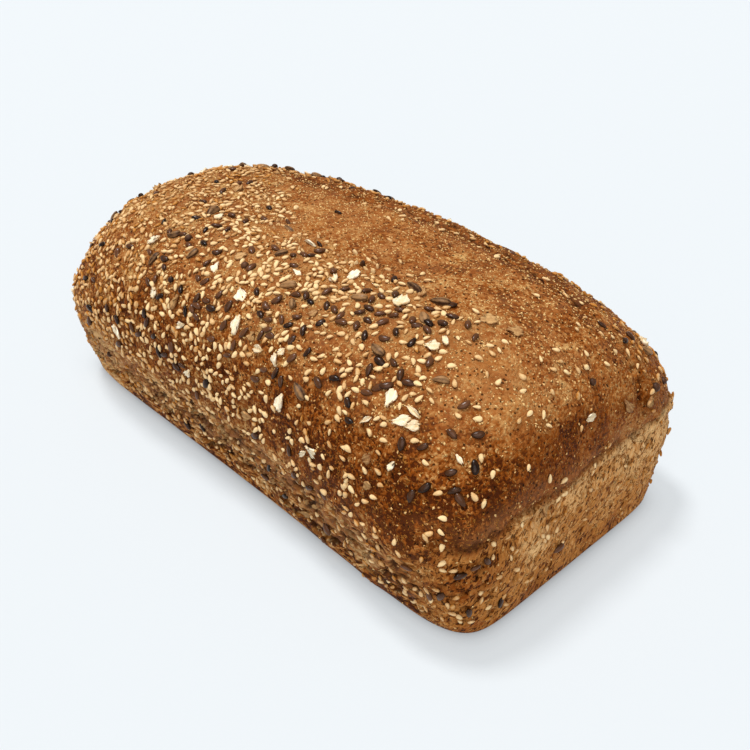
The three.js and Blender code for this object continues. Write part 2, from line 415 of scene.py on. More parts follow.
# Linseeds that lie alone in the photograph: column and row
LONE_LINSEEDS = {
    "golden": (464, 406),
    "golden_edge": (478, 435),
    "golden_back": (475, 338),
    "above_the_knot": (430, 363),
    "rim": (367, 393),
    "low": (308, 353),
    "left_low": (228, 355),
    "left_side": (183, 365),
    "left_belt": (198, 395),
    "belt_far": (188, 425),
    "belt_far_next": (203, 427),
    "belt_upper": (256, 435),
    "belt_lower": (266, 476),
    "belt_middle": (286, 496),
    "belt_edge": (290, 450),
    "side_edge": (310, 487),
    "belt_near": (328, 528),
    "front_low": (460, 500),
    "corner_upper": (475, 567),
    "corner_next": (460, 575),
    "corner_end": (487, 561),
    "corner_foot": (500, 602),
    "corner_tip": (469, 612),
    "corner_side": (430, 595),
}


class LoafSizes(bpy.types.PropertyGroup):
    """Sizes of the crust's mesh and relief."""

    mesh_step: FloatProperty(
        name="Mesh step", description="Width of one face of the crust",
        default=1.0 * MM, unit="LENGTH", subtype="DISTANCE")
    grain: FloatProperty(
        name="Grain", description="Height of the finest lumps of the crust",
        default=0.34 * MM, unit="LENGTH", subtype="DISTANCE")
    pore: FloatProperty(
        name="Pore depth", description="Depth of the open pores of the tin walls",
        default=1.3 * MM, unit="LENGTH", subtype="DISTANCE")
    crag: FloatProperty(
        name="Crag height", description="Height of the torn crags along the long sides",
        default=2.0 * MM, unit="LENGTH", subtype="DISTANCE")


class LoafToppings(bpy.types.PropertyGroup):
    """How many toppings are scattered by rule, and their lengths."""

    sesame_count: IntProperty(
        name="Sesame seeds", description="How many sesame seeds lie on the loaf", default=2450)
    sesame_length: FloatProperty(
        name="Sesame length", description="Length of a sesame seed",
        default=3.0 * MM, unit="LENGTH", subtype="DISTANCE")
    linseed_count: IntProperty(
        name="Linseeds", description="How many linseeds lie outside the clusters", default=105)
    linseed_length: FloatProperty(
        name="Linseed length", description="Length of a linseed",
        default=4.4 * MM, unit="LENGTH", subtype="DISTANCE")
    round_count: IntProperty(
        name="Round seeds", description="How many round dark seeds lie out of the photograph's sight",
        default=24)
    round_length: FloatProperty(
        name="Round seed size", description="Width of a round dark seed",
        default=3.2 * MM, unit="LENGTH", subtype="DISTANCE")
    fleck_count: IntProperty(
        name="Bran flecks", description="How many flecks of bran stand out of the crust", default=12000)
    fleck_length: FloatProperty(
        name="Fleck length", description="Length of a fleck of bran",
        default=0.9 * MM, unit="LENGTH", subtype="DISTANCE")
    kernel_count: IntProperty(
        name="Sunflower kernels", description="How many kernels lie out of the photograph's sight",
        default=36)
    kernel_length: FloatProperty(
        name="Kernel length", description="Length of a sunflower kernel",
        default=7.2 * MM, unit="LENGTH", subtype="DISTANCE")
    oat_count: IntProperty(
        name="Oat flakes", description="How many oat flakes lie out of the photograph's sight",
        default=40)
    wheat_count: IntProperty(
        name="Wheat flakes", description="How many wheat flakes lie out of the photograph's sight",
        default=24)
    flake_length: FloatProperty(
        name="Flake length", description="Length of a rolled flake",
        default=6.4 * MM, unit="LENGTH", subtype="DISTANCE")
    husk_count: IntProperty(
        name="Husks", description="How many husks hang along the torn long sides", default=45)
    husk_length: FloatProperty(
        name="Husk length", description="Length of a husk",
        default=4.0 * MM, unit="LENGTH", subtype="DISTANCE")


class LoafColours(bpy.types.PropertyGroup):
    """Colours of the crust and toppings, as sRGB hex values."""

    straw: StringProperty(name="Straw", description="Palest baked top", default="#C89B60")
    golden: StringProperty(name="Golden crust", description="Lightly baked top", default="#A46832")
    brown: StringProperty(name="Brown crust", description="Well baked shoulders", default="#86430C")
    dark: StringProperty(name="Dark crust", description="Darkest baked spots", default="#4A1E03")
    # Shade colour: painted as the shade in pores, pinholes, pits, the rift and round the toppings
    shade_colour: StringProperty(name="Scorched", description="Pores, pits and torn edges", default="#2A1204")
    crumb: StringProperty(name="Crumb", description="Palest strands of the tin walls", default="#E6B77C")
    tin_side: StringProperty(name="Tin side", description="Walls baked in the tin", default="#BE7D3C")
    ashy: StringProperty(name="Ashy", description="Grey bloom by the tin's edge", default="#A26A40")
    bran: StringProperty(name="Bran", description="Pale flecks of bran", default="#E3BB7C")
    sesame: StringProperty(name="Sesame", description="Pale sesame seed", default="#F1D09A")
    toasted: StringProperty(name="Toasted", description="Toasted sesame seed", default="#B4752E")
    linseed: StringProperty(name="Linseed", description="Brown linseed", default="#5F3A21")
    linseed_shade: StringProperty(name="Dark linseed", description="Darkest linseed", default="#1D0E05")
    kernel: StringProperty(name="Kernel", description="Pale sunflower kernel", default="#A2784E")
    kernel_shade: StringProperty(name="Dark kernel", description="Dark sunflower kernel", default="#3C2516")
    oat: StringProperty(name="Oat", description="Rolled oat flake", default="#FFF2D6")
    oat_shade: StringProperty(name="Oat shade", description="Grooves of an oat flake", default="#D0A666")
    wheat: StringProperty(name="Wheat", description="Rolled wheat flake", default="#CFA46C")
    wheat_shade: StringProperty(name="Wheat shade", description="Toasted wheat flake", default="#7A4720")
    floor: StringProperty(name="Floor", description="Pale studio floor", default="#7C7F81")
    sky: StringProperty(name="Sky", description="Even light all round", default="#F4F8FA")


class LoafStage(bpy.types.PropertyGroup):
    """Studio light."""

    key_power: FloatProperty(
        name="Key light", description="Strength of the wide light overhead", default=2.75)
    fill_power: FloatProperty(
        name="Fill light", description="Strength of the wide light in front", default=1.6)
    glow: FloatProperty(
        name="Floor glow", description="Strength of the light table that lifts the floor's shadows",
        default=2.85)
    sky: FloatProperty(
        name="Sky", description="Strength of the even light all round", default=0.30)


class LoafSettings(bpy.types.PropertyGroup):
    """All settings of the loaf."""

    sizes: PointerProperty(type=LoafSizes)
    toppings: PointerProperty(type=LoafToppings)
    colours: PointerProperty(type=LoafColours)
    stage: PointerProperty(type=LoafStage)


# Small helpers for numbers

def smoothstep(low, high, value):
    """0 below low, 1 above high, and a smooth ramp between."""
    share = np.clip((value - low) / (high - low), 0.0, 1.0)
    return share * share * (3.0 - 2.0 * share)


def wave(distance, length):
    """Sine wave with crests a length apart."""
    return np.sin(2.0 * math.pi * distance / length)


def bump(distance, half_width):
    """Smooth hump of height 1."""
    return np.exp(-((distance / half_width) ** 2))


def band_share(band, places):
    """Share of a band, given by its middle and half width, at each place."""
    middle, half_width = band
    return bump(places - middle, half_width)


def zone_share(zone, points):
    """Share of a zone at each point: the product of its fades along the axes."""
    share = np.ones(len(points))
    for axis, (start, full, *out) in zone.items():
        places = points[:, "xyz".index(axis)]
        share *= smoothstep(start, full, places)
        if out:
            share *= smoothstep(*reversed(out), places)
    return share


def weighed(weights, shares):
    """Sum of shares, each with its weight."""
    return sum(weight * shares[name] for name, weight in weights.items())


def lumps(points, size, octaves=1):
    """Soft lumps of a size in millimetres, from about -1 to 1."""
    return np.array([noise.fractal(p, 1.0, 2.0, octaves) for p in points / size])


def cells(points, size):
    """Distance to the nearest cell centre, in cells, and a number from 0 to 1 for that cell."""
    near = np.empty(len(points))
    pick = np.empty(len(points))
    for i, point in enumerate(points / size):
        distances, centres = noise.voronoi(point)
        near[i] = distances[0]
        pick[i] = 0.5 + 0.5 * noise.noise(centres[0] * 7.3)
    return near, pick


def linear(hex_colour):
    """Linear colour with alpha from an sRGB hex value."""
    channels = [int(hex_colour[i:i + 2], 16) / 255.0 for i in (1, 3, 5)]
    return (*(c / 12.92 if c <= 0.04045 else ((c + 0.055) / 1.055) ** 2.4 for c in channels), 1.0)


# Form of the loaf

def form_measure(points):
    """Below 1 inside the smooth loaf, 1 on its surface and above 1 outside."""
    x, y, z = (points - SETTLED).T
    share = x / (LENGTH / 2)
    y = (y - BEND * share ** 2) / (1.0 + WIDTH_SLOPE * share)
    rise = (z - WALL_HEIGHT) / ((HEIGHT - WALL_HEIGHT) * (1.0 + HEIGHT_SLOPE * share))
    rise = np.clip(rise, 0.0, 1.0)
    across = np.maximum(1.0 - rise ** DOME_POWER, 1e-9) ** (1.0 / DOME_POWER)
    below = np.clip(FOOT_RADIUS - z, 0.0, FOOT_RADIUS)
    inset = FOOT_RADIUS - np.sqrt(FOOT_RADIUS ** 2 - below ** 2)
    wall_share = np.clip(z / WALL_HEIGHT, 0.0, 1.0)
    half_width = (FOOT_WIDTH + (WIDTH - FOOT_WIDTH) * wall_share) / 2 * across - inset
    half_length = LENGTH / 2 - END_DROP * WIDTH / 2 * (1.0 - across) - inset
    fall = (1.0 - rise) ** SQUARENESS_FALL
    power = CROWN_SQUARENESS + (WALL_SQUARENESS - CROWN_SQUARENESS) * fall
    reach = np.abs(x / half_length) ** power + np.abs(y / np.maximum(half_width, 1e-6)) ** power
    return np.where(z < 0.0, 2.0, reach)


def form_normals(points, step=0.5):
    """Outward normals of the smooth loaf near its surface, from the slope of its measure."""
    slope = np.empty_like(points)
    for axis in range(3):
        shift = np.zeros(3)
        shift[axis] = step
        ahead = np.log(form_measure(points + shift))
        behind = np.log(form_measure(points - shift))
        slope[:, axis] = ahead - behind
    return slope / np.linalg.norm(slope, axis=1, keepdims=True)


def lattice_shell(step):
    """Points on a box round the loaf, about a step apart, and its quads, with few under the base."""
    counts = [max(2, round(side / step)) for side in (LENGTH, WIDTH, HEIGHT)]
    corners = []
    for axis, high in ((0, 0), (0, 1), (1, 0), (1, 1), (2, 1)):
        u, v = [a for a in range(3) if a != axis]
        i, j = np.meshgrid(np.arange(counts[u]), np.arange(counts[v]), indexing="ij")
        turns = ((0, 0), (1, 0), (1, 1), (0, 1))
        if (axis == 1) == bool(high):
            turns = turns[::-1]
        quad = np.zeros((i.size, 4, 3), int)
        for k, (du, dv) in enumerate(turns):
            quad[:, k, u] = (i + du).ravel()
            quad[:, k, v] = (j + dv).ravel()
            quad[:, k, axis] = counts[axis] * high
        corners.append(quad)
    spots, index = np.unique(np.concatenate(corners).reshape(-1, 3), axis=0, return_inverse=True)
    box = spots / np.array(counts) * (LENGTH, WIDTH, HEIGHT) - (LENGTH / 2, WIDTH / 2, 0.0)

    # The base is a fan round its middle, with two steps of the rim to a quad
    rim = np.flatnonzero(spots[:, 2] == 0)
    rim = rim[np.argsort(np.arctan2(box[rim, 1], box[rim, 0]))]
    middle = np.full(len(rim) // 2, len(box))
    fan = np.stack((middle, np.roll(rim, -2)[::2], np.roll(rim, -1)[::2], rim[::2]), axis=1)
    box = np.vstack((box, (0.0, 0.0, 0.0)))
    return box + SETTLED, np.vstack((index.reshape(-1, 4), fan))


def press_to_form(box):
    """Moves points of the box in, along rays from the loaf's middle line, onto its surface."""
    middle = np.zeros_like(box)
    middle[:, 0] = np.clip(box[:, 0], -LENGTH / 4, LENGTH / 4)
    middle[:, 2] = WALL_HEIGHT * np.clip(box[:, 2] / WALL_HEIGHT, 0.0, 1.0)
    middle[:, :2] += SETTLED[:2]
    inside, outside = np.zeros(len(box)), np.full(len(box), PRESS_REACH)
    for _ in range(PRESS_HALVINGS):
        share = (inside + outside) / 2
        within = form_measure(middle + (box - middle) * share[:, None]) < 1.0
        inside = np.where(within, share, inside)
        outside = np.where(within, outside, share)
    return middle + (box - middle) * inside[:, None]


def solid_relief(points):
    """Relief that the solid has too: swell, lumps, creases, torn line, split and hollow."""
    x, y, z = (points - SETTLED).T
    swell = wave(x + SWELL_SHIFT_X, SWELL_LENGTH) * wave(y + SWELL_SHIFT_Y, SWELL_LENGTH)
    swell += wave(x - 2 * z, LONG_SWELL_LENGTH)
    lump = wave(x + y / 2, LUMP_LENGTH) * wave(z + y - x / 2, LUMP_LENGTH)
    ends = end_share(points)
    crease = ends * bump(z - WALL_HEIGHT, CREASE_HALF_WIDTH)
    torn = (wave(x, SHRED_LENGTH) + wave(x + z, SHORT_SHRED_LENGTH)) / 2
    shred = (1.0 - ends) * torn * bump(z - SHRED_HEIGHT, SHRED_HALF_WIDTH)
    on_top = smoothstep(WALL_HEIGHT, WALL_HEIGHT + TOP_BLEND, z)
    crack = crack_share(points)
    dip = on_top * bump(np.hypot(x - DIP_CENTRE[0], y - DIP_CENTRE[1]), DIP_RADIUS)
    raised = SWELL * swell + LUMP * lump + SHRED_DEPTH * shred
    sunk = CREASE_DEPTH * crease + CRACK_DEPTH * crack + DIP_DEPTH * dip
    return (raised - sunk) * smoothstep(0.0, BASE_BLEND, z)


def end_share(points):
    """1 on both end faces and 0 along the loaf."""
    return smoothstep(END_START, END_FULL, np.abs(points[:, 0] - SETTLED[0]) / (LENGTH / 2))


def above_edge(points):
    """How far above the torn edge of the top crust each point is, in millimetres."""
    return points[:, 2] - EDGE_HEIGHT - EDGE_SWAY * wave(points[:, 1], EDGE_SWAY_LENGTH)


def tin_share(points):
    """1 on the walls baked in the tin, 0 on the crown: soft along the loaf, sharp at its ends."""
    ends = end_share(points)
    uneven = lumps(points, ZONE_PATCH, 2)
    along = smoothstep(*WALL_FADE, points[:, 2] - WALL_HEIGHT + WALL_UNEVEN * uneven)
    at_ends = smoothstep(*EDGE_FADE, above_edge(points) + EDGE_UNEVEN * uneven)
    return 1.0 - along - (at_ends - along) * ends


def crack_line(points):
    """How far to the back of the split's middle line each point is, in millimetres."""
    x, y, _ = (points - SETTLED).T
    return y - CRACK_Y - CRACK_SWAY * wave(x, CRACK_SWAY_LENGTH)


def crack_share(points):
    """1 in the split along the back shoulder."""
    x, _, z = (points - SETTLED).T
    on_top = smoothstep(WALL_HEIGHT, WALL_HEIGHT + TOP_BLEND, z)
    split = smoothstep(CRACK_START_X, CRACK_START_X + CRACK_FADE, x) * on_top
    return split * bump(crack_line(points), CRACK_HALF_WIDTH)


def quad_normals(points, quads):
    """Normals at the points of a quad mesh."""
    a, b, c, d = (points[quads[:, k]] for k in range(4))
    facing = np.cross(c - a, d - b)
    total = np.zeros_like(points)
    for k in range(4):
        np.add.at(total, quads[:, k], facing)
    return total / np.maximum(np.linalg.norm(total, axis=1, keepdims=True), 1e-12)


# Meshes and materials

def new_piece(name, points, faces, material, **point_values):
    """Smooth mesh object from arrays in millimetres, with one number per point for each value."""
    mesh = bpy.data.meshes.new(name)
    mesh.vertices.add(len(points))
    mesh.vertices.foreach_set("co", (points * MM).astype(np.float32).ravel())
    mesh.loops.add(faces.size)
    mesh.loops.foreach_set("vertex_index", faces.astype(np.int32).ravel())
    mesh.polygons.add(len(faces))
    starts = np.arange(0, faces.size, faces.shape[1], dtype=np.int32)
    mesh.polygons.foreach_set("loop_start", starts)
    mesh.polygons.foreach_set("use_smooth", np.ones(len(faces), bool))
    for value_name, values in point_values.items():
        attribute = mesh.attributes.new(value_name, "FLOAT", "POINT")
        attribute.data.foreach_set("value", np.asarray(values, np.float32))
    mesh.update(calc_edges=True)
    mesh.materials.append(material)
    piece = bpy.data.objects.new(name, mesh)
    bpy.context.scene.collection.objects.link(piece)
    return piece


def dress(piece):
    """Makes a piece ride with the loaf and stand for its solid."""
    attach(piece, BODY)
    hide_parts(NODE)


def new_material(name):
    """Node material, its tree, and its Principled shader."""
    material = bpy.data.materials.new(name)
    material.use_nodes = True
    return material, material.node_tree, material.node_tree.nodes["Principled BSDF"]


def add_node(tree, kind, sockets, stops=(), **settings):
    """Adds a node with its settings and colour stops, and links or sets each of the sockets given."""
    node = tree.nodes.new(kind)
    for name, value in settings.items():
        setattr(node, name, value)
    for number, (position, colour) in enumerate(stops):
        elements = node.color_ramp.elements
        element = elements[number] if number < 2 else elements.new(position)
        element.position = position
        element.color = linear(colour)
    for socket, value in sockets.items():
        if isinstance(value, bpy.types.NodeSocket):
            tree.links.new(value, node.inputs[socket])
        else:
            node.inputs[socket].default_value = value
    return node


def per_mm(size):
    """Texture scale, in object metres, for a pattern of a size in millimetres."""
    return 1.0 / (size * MM)


def baked_crust():
    """Whole wheat dough baked to a dry crust: matt, mottled golden to dark, curly with bran, pored, with
    painted shade in its pores, pits and rift.
    """
    colours = bpy.context.scene.loaf.colours
    material, tree, shader = new_material("whole_wheat_dough_oven_baked")
    place = add_node(tree, "ShaderNodeTexCoord", {}).outputs["Object"]
    zone = {
        name: add_node(tree, "ShaderNodeAttribute", {}, attribute_name=name).outputs["Fac"]
        for name in (
            "baked", "grainy", "ashy", "tin_side", "end_face", "long_side", "pit", "rift", "split")}

    # The grain is drawn out to level strata on the long sides and to slanting strands on the end faces
    strata = add_node(tree, "ShaderNodeMapping", {
        "Vector": place, "Scale": (2.4, 2.4, 1.0)}, vector_type="TEXTURE")
    strands = add_node(tree, "ShaderNodeMapping", {
        "Vector": place, "Rotation": (math.radians(50), 0.0, 0.0), "Scale": (1.0, 1.7, 1.0)},
        vector_type="TEXTURE")
    side = add_node(tree, "ShaderNodeMath", {0: zone["long_side"], 1: 0.5}, operation="GREATER_THAN")
    end = add_node(tree, "ShaderNodeMath", {0: zone["end_face"], 1: 0.5}, operation="GREATER_THAN")
    on_sides = add_node(tree, "ShaderNodeMix", {
        MIX_SHARE: side.outputs[0], MIX_FIRST_VECTOR: place, MIX_SECOND_VECTOR: strata.outputs[0]},
        data_type="VECTOR")
    drawn = add_node(tree, "ShaderNodeMix", {
        MIX_SHARE: end.outputs[0], MIX_FIRST_VECTOR: on_sides.outputs[MIX_RESULT_VECTOR],
        MIX_SECOND_VECTOR: strands.outputs[0]}, data_type="VECTOR").outputs[MIX_RESULT_VECTOR]
    mottle = add_node(tree, "ShaderNodeTexNoise", {
        "Vector": place, "Scale": per_mm(10.0), "Detail": 4.0, "Roughness": 0.62, "Distortion": 0.3})
    curl = add_node(tree, "ShaderNodeTexNoise", {
        "Vector": drawn, "Scale": per_mm(1.7), "Detail": 1.0, "Roughness": 0.5, "Distortion": 0.8})

    # Crumbs and pores are cells that the grain bends out of line, the crumbs wide enough to show
    bent = add_node(tree, "ShaderNodeVectorMath", {
        0: curl.outputs["Color"], 1: (0.8 * MM, 0.8 * MM, 0.8 * MM), 2: drawn}, operation="MULTIPLY_ADD")
    crumb = add_node(tree, "ShaderNodeTexVoronoi", {"Vector": bent.outputs[0], "Scale": per_mm(0.9)})
    crumb_pick = add_node(tree, "ShaderNodeSeparateColor", {"Color": crumb.outputs["Color"]})
    pore = add_node(tree, "ShaderNodeTexVoronoi", {"Vector": bent.outputs[0], "Scale": per_mm(1.5)})
    pore_pick = add_node(tree, "ShaderNodeSeparateColor", {"Color": pore.outputs["Color"]})

    # Pits of the end faces: hollows in a web of strands
    web = add_node(tree, "ShaderNodeTexNoise", {
        "Vector": drawn, "Scale": per_mm(1.5), "Detail": 2.0, "Roughness": 0.6, "Distortion": 0.6})
    hollows = add_node(tree, "ShaderNodeMapRange", {
        "Value": web.outputs["Fac"], "From Min": 0.36, "From Max": 0.46, "To Min": 1.0, "To Max": 0.0})
    pits = add_node(tree, "ShaderNodeMath", {
        0: hollows.outputs[0], 1: zone["end_face"]}, operation="MULTIPLY")

    # How brown a spot is: its zone, swayed by mottling, grain and crumbs, and darker in the pits as painted
    # shade
    mottle_sway = add_node(tree, "ShaderNodeMapRange", {
        "Value": mottle.outputs["Fac"], "From Min": 0.3, "From Max": 0.7, "To Min": 0.26, "To Max": -0.26})
    curl_sway = add_node(tree, "ShaderNodeMapRange", {
        "Value": curl.outputs["Fac"], "From Min": 0.3, "From Max": 0.7, "To Min": 0.18, "To Max": -0.18})
    crumb_sway = add_node(tree, "ShaderNodeMapRange", {
        "Value": crumb_pick.outputs["Red"], "To Min": -0.2, "To Max": 0.2})
    fine = add_node(tree, "ShaderNodeMath", {0: curl_sway.outputs[0], 1: crumb_sway.outputs[0]})
    sway = add_node(tree, "ShaderNodeMath", {0: mottle_sway.outputs[0], 1: fine.outputs[0]})
    grained = add_node(
        tree, "ShaderNodeMath", {0: sway.outputs[0], 1: zone["grainy"]}, operation="MULTIPLY")
    pitted = add_node(tree, "ShaderNodeMath", {
        0: pits.outputs[0], 1: 0.38, 2: grained.outputs[0]}, operation="MULTIPLY_ADD")
    browning = add_node(tree, "ShaderNodeMath", {0: zone["baked"], 1: pitted.outputs[0]})
    oven = add_node(tree, "ShaderNodeValToRGB", {"Fac": browning.outputs[0]}, stops=(
        (0.0, colours.straw), (0.35, colours.golden), (0.66, colours.brown), (1.0, colours.dark)))
    tin = add_node(tree, "ShaderNodeValToRGB", {"Fac": browning.outputs[0]}, stops=(
        (0.1, colours.crumb), (0.45, colours.tin_side), (0.85, colours.brown), (1.0, colours.dark)))
    baked = add_node(tree, "ShaderNodeMix", {
        MIX_SHARE: zone["tin_side"], MIX_FIRST: oven.outputs[0], MIX_SECOND: tin.outputs[0]},
        data_type="RGBA")
    dusty = add_node(tree, "ShaderNodeMix", {
        MIX_SHARE: zone["ashy"], MIX_FIRST: baked.outputs[MIX_RESULT], MIX_SECOND: linear(colours.ashy)},
        data_type="RGBA")

    # Bran: pale curls along the grain's middle level, broken up, and some of the crumbs
    level = add_node(tree, "ShaderNodeMath", {0: curl.outputs["Fac"], 1: 0.5, 2: 0.03}, operation="COMPARE")
    broken = add_node(tree, "ShaderNodeSeparateColor", {"Color": curl.outputs["Color"]})
    curls = add_node(tree, "ShaderNodeMapRange", {
        "Value": broken.outputs["Green"], "From Min": 0.5, "From Max": 0.6, "To Max": 0.4})
    curled = add_node(
        tree, "ShaderNodeMath", {0: level.outputs[0], 1: curls.outputs[0]}, operation="MULTIPLY")
    speck = add_node(tree, "ShaderNodeMapRange", {
        "Value": crumb.outputs["Distance"],
        "From Min": 0.25, "From Max": 0.45, "To Min": 1.0, "To Max": 0.0})
    bran = add_node(tree, "ShaderNodeMapRange", {
        "Value": crumb_pick.outputs["Green"], "From Min": 0.82, "From Max": 1.0, "To Max": 0.9})
    specks = add_node(
        tree, "ShaderNodeMath", {0: speck.outputs[0], 1: bran.outputs[0]}, operation="MULTIPLY")
    flecks = add_node(tree, "ShaderNodeMath", {
        0: curled.outputs[0], 1: zone["grainy"], 2: specks.outputs[0]},
        operation="MULTIPLY_ADD", use_clamp=True)
    toasted = add_node(tree, "ShaderNodeValToRGB", {"Fac": browning.outputs[0]}, stops=(
        (0.4, colours.bran), (0.85, colours.toasted)))
    flecked = add_node(tree, "ShaderNodeMix", {
        MIX_SHARE: flecks.outputs[0], MIX_FIRST: dusty.outputs[MIX_RESULT], MIX_SECOND: toasted.outputs[0]},
        data_type="RGBA")

    # Painted shade in pinholes all over, in a thin ragged rift along the back shoulder, and in the crust's
    # hollows and round its toppings
    hole = add_node(tree, "ShaderNodeMapRange", {
        "Value": pore.outputs["Distance"],
        "From Min": 0.16, "From Max": 0.3, "To Min": 0.85, "To Max": 0.0})
    pore_some = add_node(tree, "ShaderNodeMapRange", {
        "Value": pore_pick.outputs["Green"], "From Min": 0.55, "From Max": 0.7})
    holes = add_node(
        tree, "ShaderNodeMath", {0: hole.outputs[0], 1: pore_some.outputs[0]}, operation="MULTIPLY")
    frayed = add_node(tree, "ShaderNodeMath", {
        0: mottle.outputs["Fac"], 1: 9.0, 2: zone["rift"]}, operation="MULTIPLY_ADD")
    line = add_node(tree, "ShaderNodeMath", {0: frayed.outputs[0], 1: 4.5, 2: 0.45}, operation="COMPARE")
    rift = add_node(tree, "ShaderNodeMath", {0: line.outputs[0], 1: zone["split"]}, operation="MULTIPLY")
    torn = add_node(tree, "ShaderNodeMath", {0: rift.outputs[0], 1: zone["pit"]}, operation="MAXIMUM")
    sunken = add_node(
        tree, "ShaderNodeMath", {0: holes.outputs[0], 1: torn.outputs[0]}, operation="MAXIMUM")
    finished = add_node(tree, "ShaderNodeMix", {
        MIX_SHARE: sunken.outputs[0], MIX_FIRST: flecked.outputs[MIX_RESULT],
        MIX_SECOND: linear(colours.shade_colour)}, data_type="RGBA")
    tree.links.new(finished.outputs[MIX_RESULT], shader.inputs["Base Color"])

    # The same grain, crumbs, bran, pits and pores as bumps
    raised = add_node(tree, "ShaderNodeMath", {0: curl.outputs["Fac"], 1: flecks.outputs[0]})
    crumbly = add_node(tree, "ShaderNodeMath", {
        0: crumb.outputs["Distance"], 1: -0.7, 2: raised.outputs[0]}, operation="MULTIPLY_ADD")
    dented = add_node(tree, "ShaderNodeMath", {
        0: pits.outputs[0], 1: -2.0, 2: crumbly.outputs[0]}, operation="MULTIPLY_ADD")
    sunk = add_node(tree, "ShaderNodeMath", {
        0: holes.outputs[0], 1: -1.5, 2: dented.outputs[0]}, operation="MULTIPLY_ADD")
    relief = add_node(tree, "ShaderNodeBump", {
        "Height": sunk.outputs[0], "Strength": 1.0, "Distance": 0.45 * MM})
    tree.links.new(relief.outputs["Normal"], shader.inputs["Normal"])
    sheen = add_node(tree, "ShaderNodeMapRange", {
        "Value": mottle.outputs["Fac"], "From Min": 0.3, "From Max": 0.7, "To Min": 0.5, "To Max": 0.7})
    tree.links.new(sheen.outputs[0], shader.inputs["Roughness"])
    shader.inputs["IOR"].default_value = 1.45
    shader.inputs["Specular IOR Level"].default_value = 0.05
    return material


def seed_coat(name, pale, dark, roughness, gloss, grain):
    """Seed or flake: two tones that differ from seed to seed, and along it, with a fine grain."""
    material, tree, shader = new_material(name)
    place = add_node(tree, "ShaderNodeTexCoord", {}).outputs["Object"]
    tone = add_node(tree, "ShaderNodeAttribute", {}, attribute_name="tone").outputs["Fac"]
    grains = add_node(tree, "ShaderNodeTexNoise", {"Vector": place, "Scale": per_mm(grain), "Detail": 2.0})
    sway = add_node(tree, "ShaderNodeMapRange", {
        "Value": grains.outputs["Fac"], "From Min": 0.3, "From Max": 0.7, "To Min": -0.2, "To Max": 0.2})
    share = add_node(tree, "ShaderNodeMath", {0: tone, 1: sway.outputs[0]}, use_clamp=True)
    colour = add_node(tree, "ShaderNodeMix", {
        MIX_SHARE: share.outputs[0], MIX_FIRST: linear(pale), MIX_SECOND: linear(dark)}, data_type="RGBA")
    tree.links.new(colour.outputs[MIX_RESULT], shader.inputs["Base Color"])
    relief = add_node(tree, "ShaderNodeBump", {
        "Height": grains.outputs["Fac"], "Strength": 0.5, "Distance": 0.15 * MM})
    tree.links.new(relief.outputs["Normal"], shader.inputs["Normal"])
    shader.inputs["Roughness"].default_value = roughness
    shader.inputs["IOR"].default_value = 1.47
    shader.inputs["Specular IOR Level"].default_value = gloss
    return material


# Crust

def crust_zones(points):
    """How brown and how grainy each point is baked, and its shares of tin wall, end face and bloom."""
    form = points - SETTLED
    z = form[:, 2]
    zone = {name: zone_share(stretch, form) for name, stretch in CRUST_ZONES.items()}
    band = {name: band_share(level, z) for name, level in BANDS.items()}
    edge = {name: band_share(level, above_edge(points)) for name, level in EDGE_BANDS.items()}
    ends, tin = end_share(points), tin_share(points)
    top, end_face, long_side = 1.0 - tin, ends * tin, (1.0 - ends) * tin
    patchy = lumps(points + PATCH_SHIFT, SMALL_PATCH, 2)
    shoulder = band["shoulder"] * top * (0.4 + 0.6 * zone["near_shoulder"])
    front_top = band["front_top"] * zone["front_top"] * (0.5 + 0.5 * zone["near_top"])
    front = zone["front"] * (0.4 + 0.6 * zone["near_front"])
    behind = smoothstep(*BEHIND_SPLIT, crack_line(points)) * top * zone["behind"]
    shares = {
        "whole": 1.0,
        "uneven": lumps(points, ZONE_PATCH, 2),
        "patchy": patchy * (1.0 - 0.7 * end_face),
        "shoulder": shoulder * (1.0 - 0.5 * zone["back_corner"]),
        "front_top": front_top,
        "corner": zone["corner"] * band["corner"],
        "foot": band["foot"],
        "end_foot": band["foot"] * ends,
        "behind": behind,
        "late": zone["late"],
        "rim": zone["rim"] * band["rim"],
        "tin": tin,
        "far_tin": zone["far"] * long_side,
        "end_face": end_face,
        # End faces darker towards the foot: painted shade
        "end_height": z * end_face,
        "long_side": long_side,
        "lip": ends * edge["lip"],
        "front": front,
        "front_patchy": patchy * front,
        "rough": np.maximum(zone["rough_front"], zone["rough_far"]) * top,
        "belt": (1.0 - ends) * band["belt"],
        # Grey band in the crease above the end faces' torn edge: partly bloom, partly painted shade
        "crease": ends * edge["crease"],
        "crown": zone["crown"],
    }
    return {
        "baked": weighed(BROWNING, shares),
        "grainy": weighed(GRAININESS, shares),
        "ashy": np.clip(weighed(BLOOM, shares) * (0.7 + 0.9 * patchy), 0.0, BLOOM_MOST),
        "rift": crack_line(points),
        "split": zone["rift"] * top,
        "tin_side": tin,
        "end_face": end_face,
        "long_side": long_side,
    }


